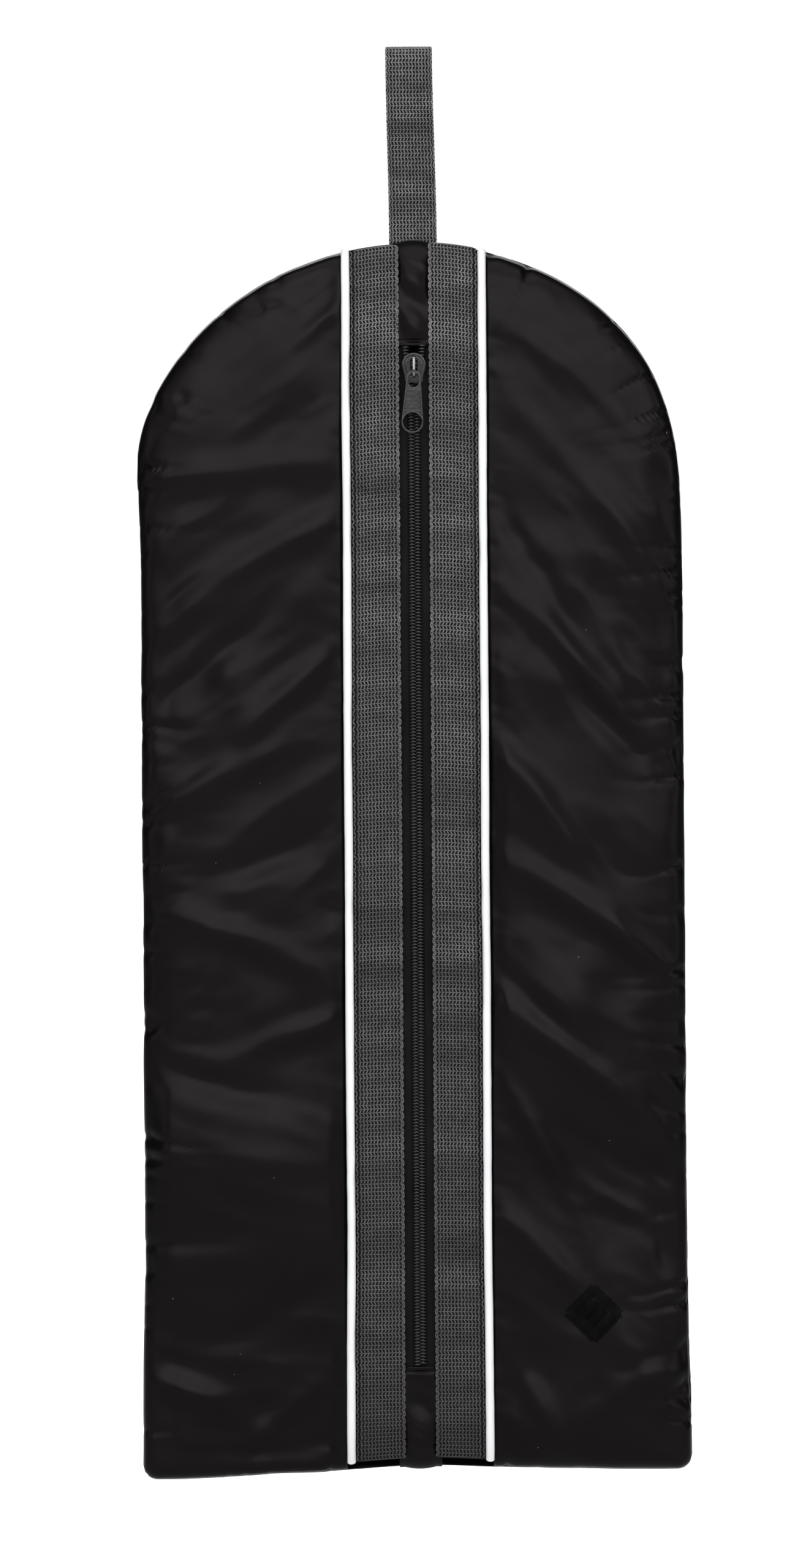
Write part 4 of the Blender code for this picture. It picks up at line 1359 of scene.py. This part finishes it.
def makePull():
    look = pullLook
    turn = math.radians(-look["lean"])

    def hung(points):
        return [(x * math.cos(turn) + d * math.sin(turn), look["hinge"] - d * math.cos(turn) + x * math.sin(turn))
                for x, d in points]

    topRadius, tipRadius, holeAt = look["topRadius"], look["tipRadius"], (0, look["holeAt"])
    tip = look["length"] - look["rise"] - tipRadius
    outline = arcPoints((0, topRadius - look["rise"]), topRadius, 180, 360, 14)
    outline += arcPoints((0, tip), tipRadius, 0, 180, 22)
    eye = arcPoints((0.7, 2.05), 1.25, 270, 360, 5) + arcPoints((0.3, 4.3), 1.65, 0, 90, 6)
    eye += arcPoints((-0.3, 4.3), 1.65, 90, 180, 6) + arcPoints((-0.7, 2.05), 1.25, 180, 270, 5)
    hole = arcPoints(holeAt, look["holeRadius"], 0, 345, 28)
    collar = arcPoints(holeAt, look["collarRadius"], 0, 348, 30)
    parts = []
    for name, outlines, out, thickness, bevel in (
            ("pullPlate", (outline, eye, hole), 0.0, look["thickness"], 0.3),
            ("pullRim", (look["rim"], look["panel"]), 0.35, 0.6, 0.2),
            ("pullCollar", (collar, hole), 0.3, 0.6, 0.25)):
        parts.append(flatShape(name, [hung(points) for points in outlines], look["face"] + out, thickness, bevel,
                               slope=look["slope"], pivot=look["hinge"]))
    onBody(joined("zipPull", parts), "zip_pull", "black_metal", "pull_tab")


makeSlider()
makeBail()
makePull()
print("slider and pull made")


# embroidered motif
motifLook = {"pitch": 0.42, "thread": 0.4, "threadHeight": 0.22, "band": 4.6, "lift": 0.12, "heartColumns": 22}


def overCloth(cover, x, z, height):
    # points above the finished cloth, which is looked for from in front
    mesh = cover.data
    tree = BVHTree.FromPolygons([v.co for v in mesh.vertices], [p.vertices[:] for p in mesh.polygons])
    points = settle(np.stack([x, 0 * x, z], -1)) * mm
    ahead = Vector((0, 1, 0))
    for point, rise in zip(points, height):
        hit = tree.ray_cast(Vector((point[0], -0.05, point[2])), ahead)[0]
        point[1] = hit.y - rise * mm
    return points


def makeMotif():
    look = motifLook
    low, high = (np.array(c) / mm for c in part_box("embroidered_motif"))
    centreX, centreZ = (low[0] + high[0]) / 2, (low[2] + high[2]) / 2
    reach = (high[0] - low[0]) / 2
    side = reach * math.sqrt(2) - look["band"] * 0.55
    count = int(side / look["pitch"])
    strand = pod("strand", look["band"], look["thread"], look["threadHeight"], 2, 5, tip=0.55)

    def sewn(name, columns, rows, rowPitch, slant, seed, degrees, shift):
        # a field of strands turned about the lozenge's centre and laid on the cloth
        field = rowsOf(name, strand, embroideryThread, columns, rows, look["pitch"], rowPitch, slant=slant,
                       slantJitter=3.0, sizeJitter=0.03, seed=seed)
        points, turn = meshPoints(field.data), math.radians(degrees)
        u, v = points[:, 0], points[:, 1] + shift
        x = centreX + u * math.cos(turn) - v * math.sin(turn)
        z = centreZ + u * math.sin(turn) + v * math.cos(turn)
        setPoints(field.data, overCloth(frontRight, x, z, look["lift"] + points[:, 2]))
        return field

    out = reach / math.sqrt(2) - look["band"] / 2
    parts = [sewn(f"motif{quarter}", count, 1, 0.0, 9.0, 90 + quarter, 45 + 90 * quarter, out) for quarter in range(4)]
    parts.append(sewn("motifHeart", look["heartColumns"], 2, look["band"] * 0.92, 8.0, 97, 45, 0.0))
    drop(strand)
    motif = facingOut(joined("embroideredMotif", parts))
    motif.data.shade_smooth()
    onBody(motif, "bag", "black_thread", "embroidered_motif")


makeMotif()
print("motif made")


# floor, lights and camera
stageLook = {
    "floorZ": -0.66,
    "floorReach": 9.0,
    "distance": 2.0,
    "aim": (-0.0053, 0.0, -0.2996),
    "frameHeight": 0.640,
    "roll": 0.38,  # degrees
    "room": 0.07,  # how much the surroundings light the bag
}


# place, aim, size in metres and power of each light
softboxes = {
    "frontSoftbox": ((0.0, -2.8, 1.05), (0, 0, -0.25), (4.6, 2.4), 122.0),
    "topSoftbox": ((0.0, -0.8, 1.9), (0, 0, -0.25), (2.6, 1.2), 24.0),
    "backSoftbox": ((0.0, 2.8, 1.05), (0, 0, -0.25), (3.0, 2.0), 26.0),
    "leftSoftbox": ((-1.9, -0.9, 0.3), (0, 0, -0.3), (0.6, 1.4), 5.0),
    "rightSoftbox": ((1.9, -0.9, 0.3), (0, 0, -0.3), (0.6, 1.4), 7.0),
}


def areaLight(name, place, target, size, power):
    light = bpy.data.lights.new(name, "AREA")
    light.shape, light.size, light.size_y = "RECTANGLE", *size
    light.energy = power
    obj = linked(name, light)
    obj.location = place
    obj.rotation_euler = (Vector(target) - Vector(place)).to_track_quat("-Z", "Y").to_euler()


def makeStage():
    look = stageLook
    scene = bpy.context.scene
    floorMaterial = bpy.data.materials.new("paleFloor")
    floorMaterial.use_nodes = True
    shader = floorMaterial.node_tree.nodes["Principled BSDF"]
    shader.inputs["Base Color"].default_value = (0.9, 0.9, 0.9, 1)
    shader.inputs["Roughness"].default_value = 0.9
    path = floorMaterial.node_tree.nodes.new("ShaderNodeLightPath")
    shader.inputs["Emission Color"].default_value = (1, 1, 1, 1)
    floorMaterial.node_tree.links.new(path.outputs["Is Camera Ray"], shader.inputs["Emission Strength"])
    reach, height = look["floorReach"], look["floorZ"]
    corners = np.array([(-reach, -reach, height), (reach, -reach, height), (reach, reach, height),
                        (-reach, reach, height)]) / mm
    newObject("floor", corners, [(0, 1, 2, 3)], [floorMaterial], smooth=None)
    world = bpy.data.worlds.new("studio")
    world.use_nodes = True
    tree = world.node_tree
    room = tree.nodes["Background"]
    room.inputs["Color"].default_value = (1, 1, 1, 1)
    room.inputs["Strength"].default_value = look["room"]
    # white where the camera looks at it, and dim where it lights the bag
    path = tree.nodes.new("ShaderNodeLightPath")
    white = addNode(tree, "ShaderNodeBackground", {"Color": (1, 1, 1, 1)})
    mix = addNode(tree, "ShaderNodeMixShader", {
        0: path.outputs["Is Camera Ray"], 1: room.outputs[0], 2: white.outputs[0]})
    tree.links.new(mix.outputs[0], tree.nodes["World Output"].inputs["Surface"])
    scene.world = world
    for name, light in softboxes.items():
        areaLight(name, *light)
    camera = linked("camera", bpy.data.cameras.new("camera"))
    aim = Vector(look["aim"])
    camera.location = aim + Vector((0, -look["distance"], 0))
    turn = Matrix.Rotation(math.radians(90), 4, "X") @ Matrix.Rotation(math.radians(-look["roll"]), 4, "Z")
    camera.rotation_euler = turn.to_euler()
    camera.data.sensor_width = 36.0
    camera.data.lens = 36.0 * look["distance"] / look["frameHeight"]
    camera.data.clip_start, camera.data.clip_end = 0.05, 60
    scene.camera = camera
    scene.view_settings.view_transform = "Standard"
    scene.view_settings.look = "None"


makeStage()
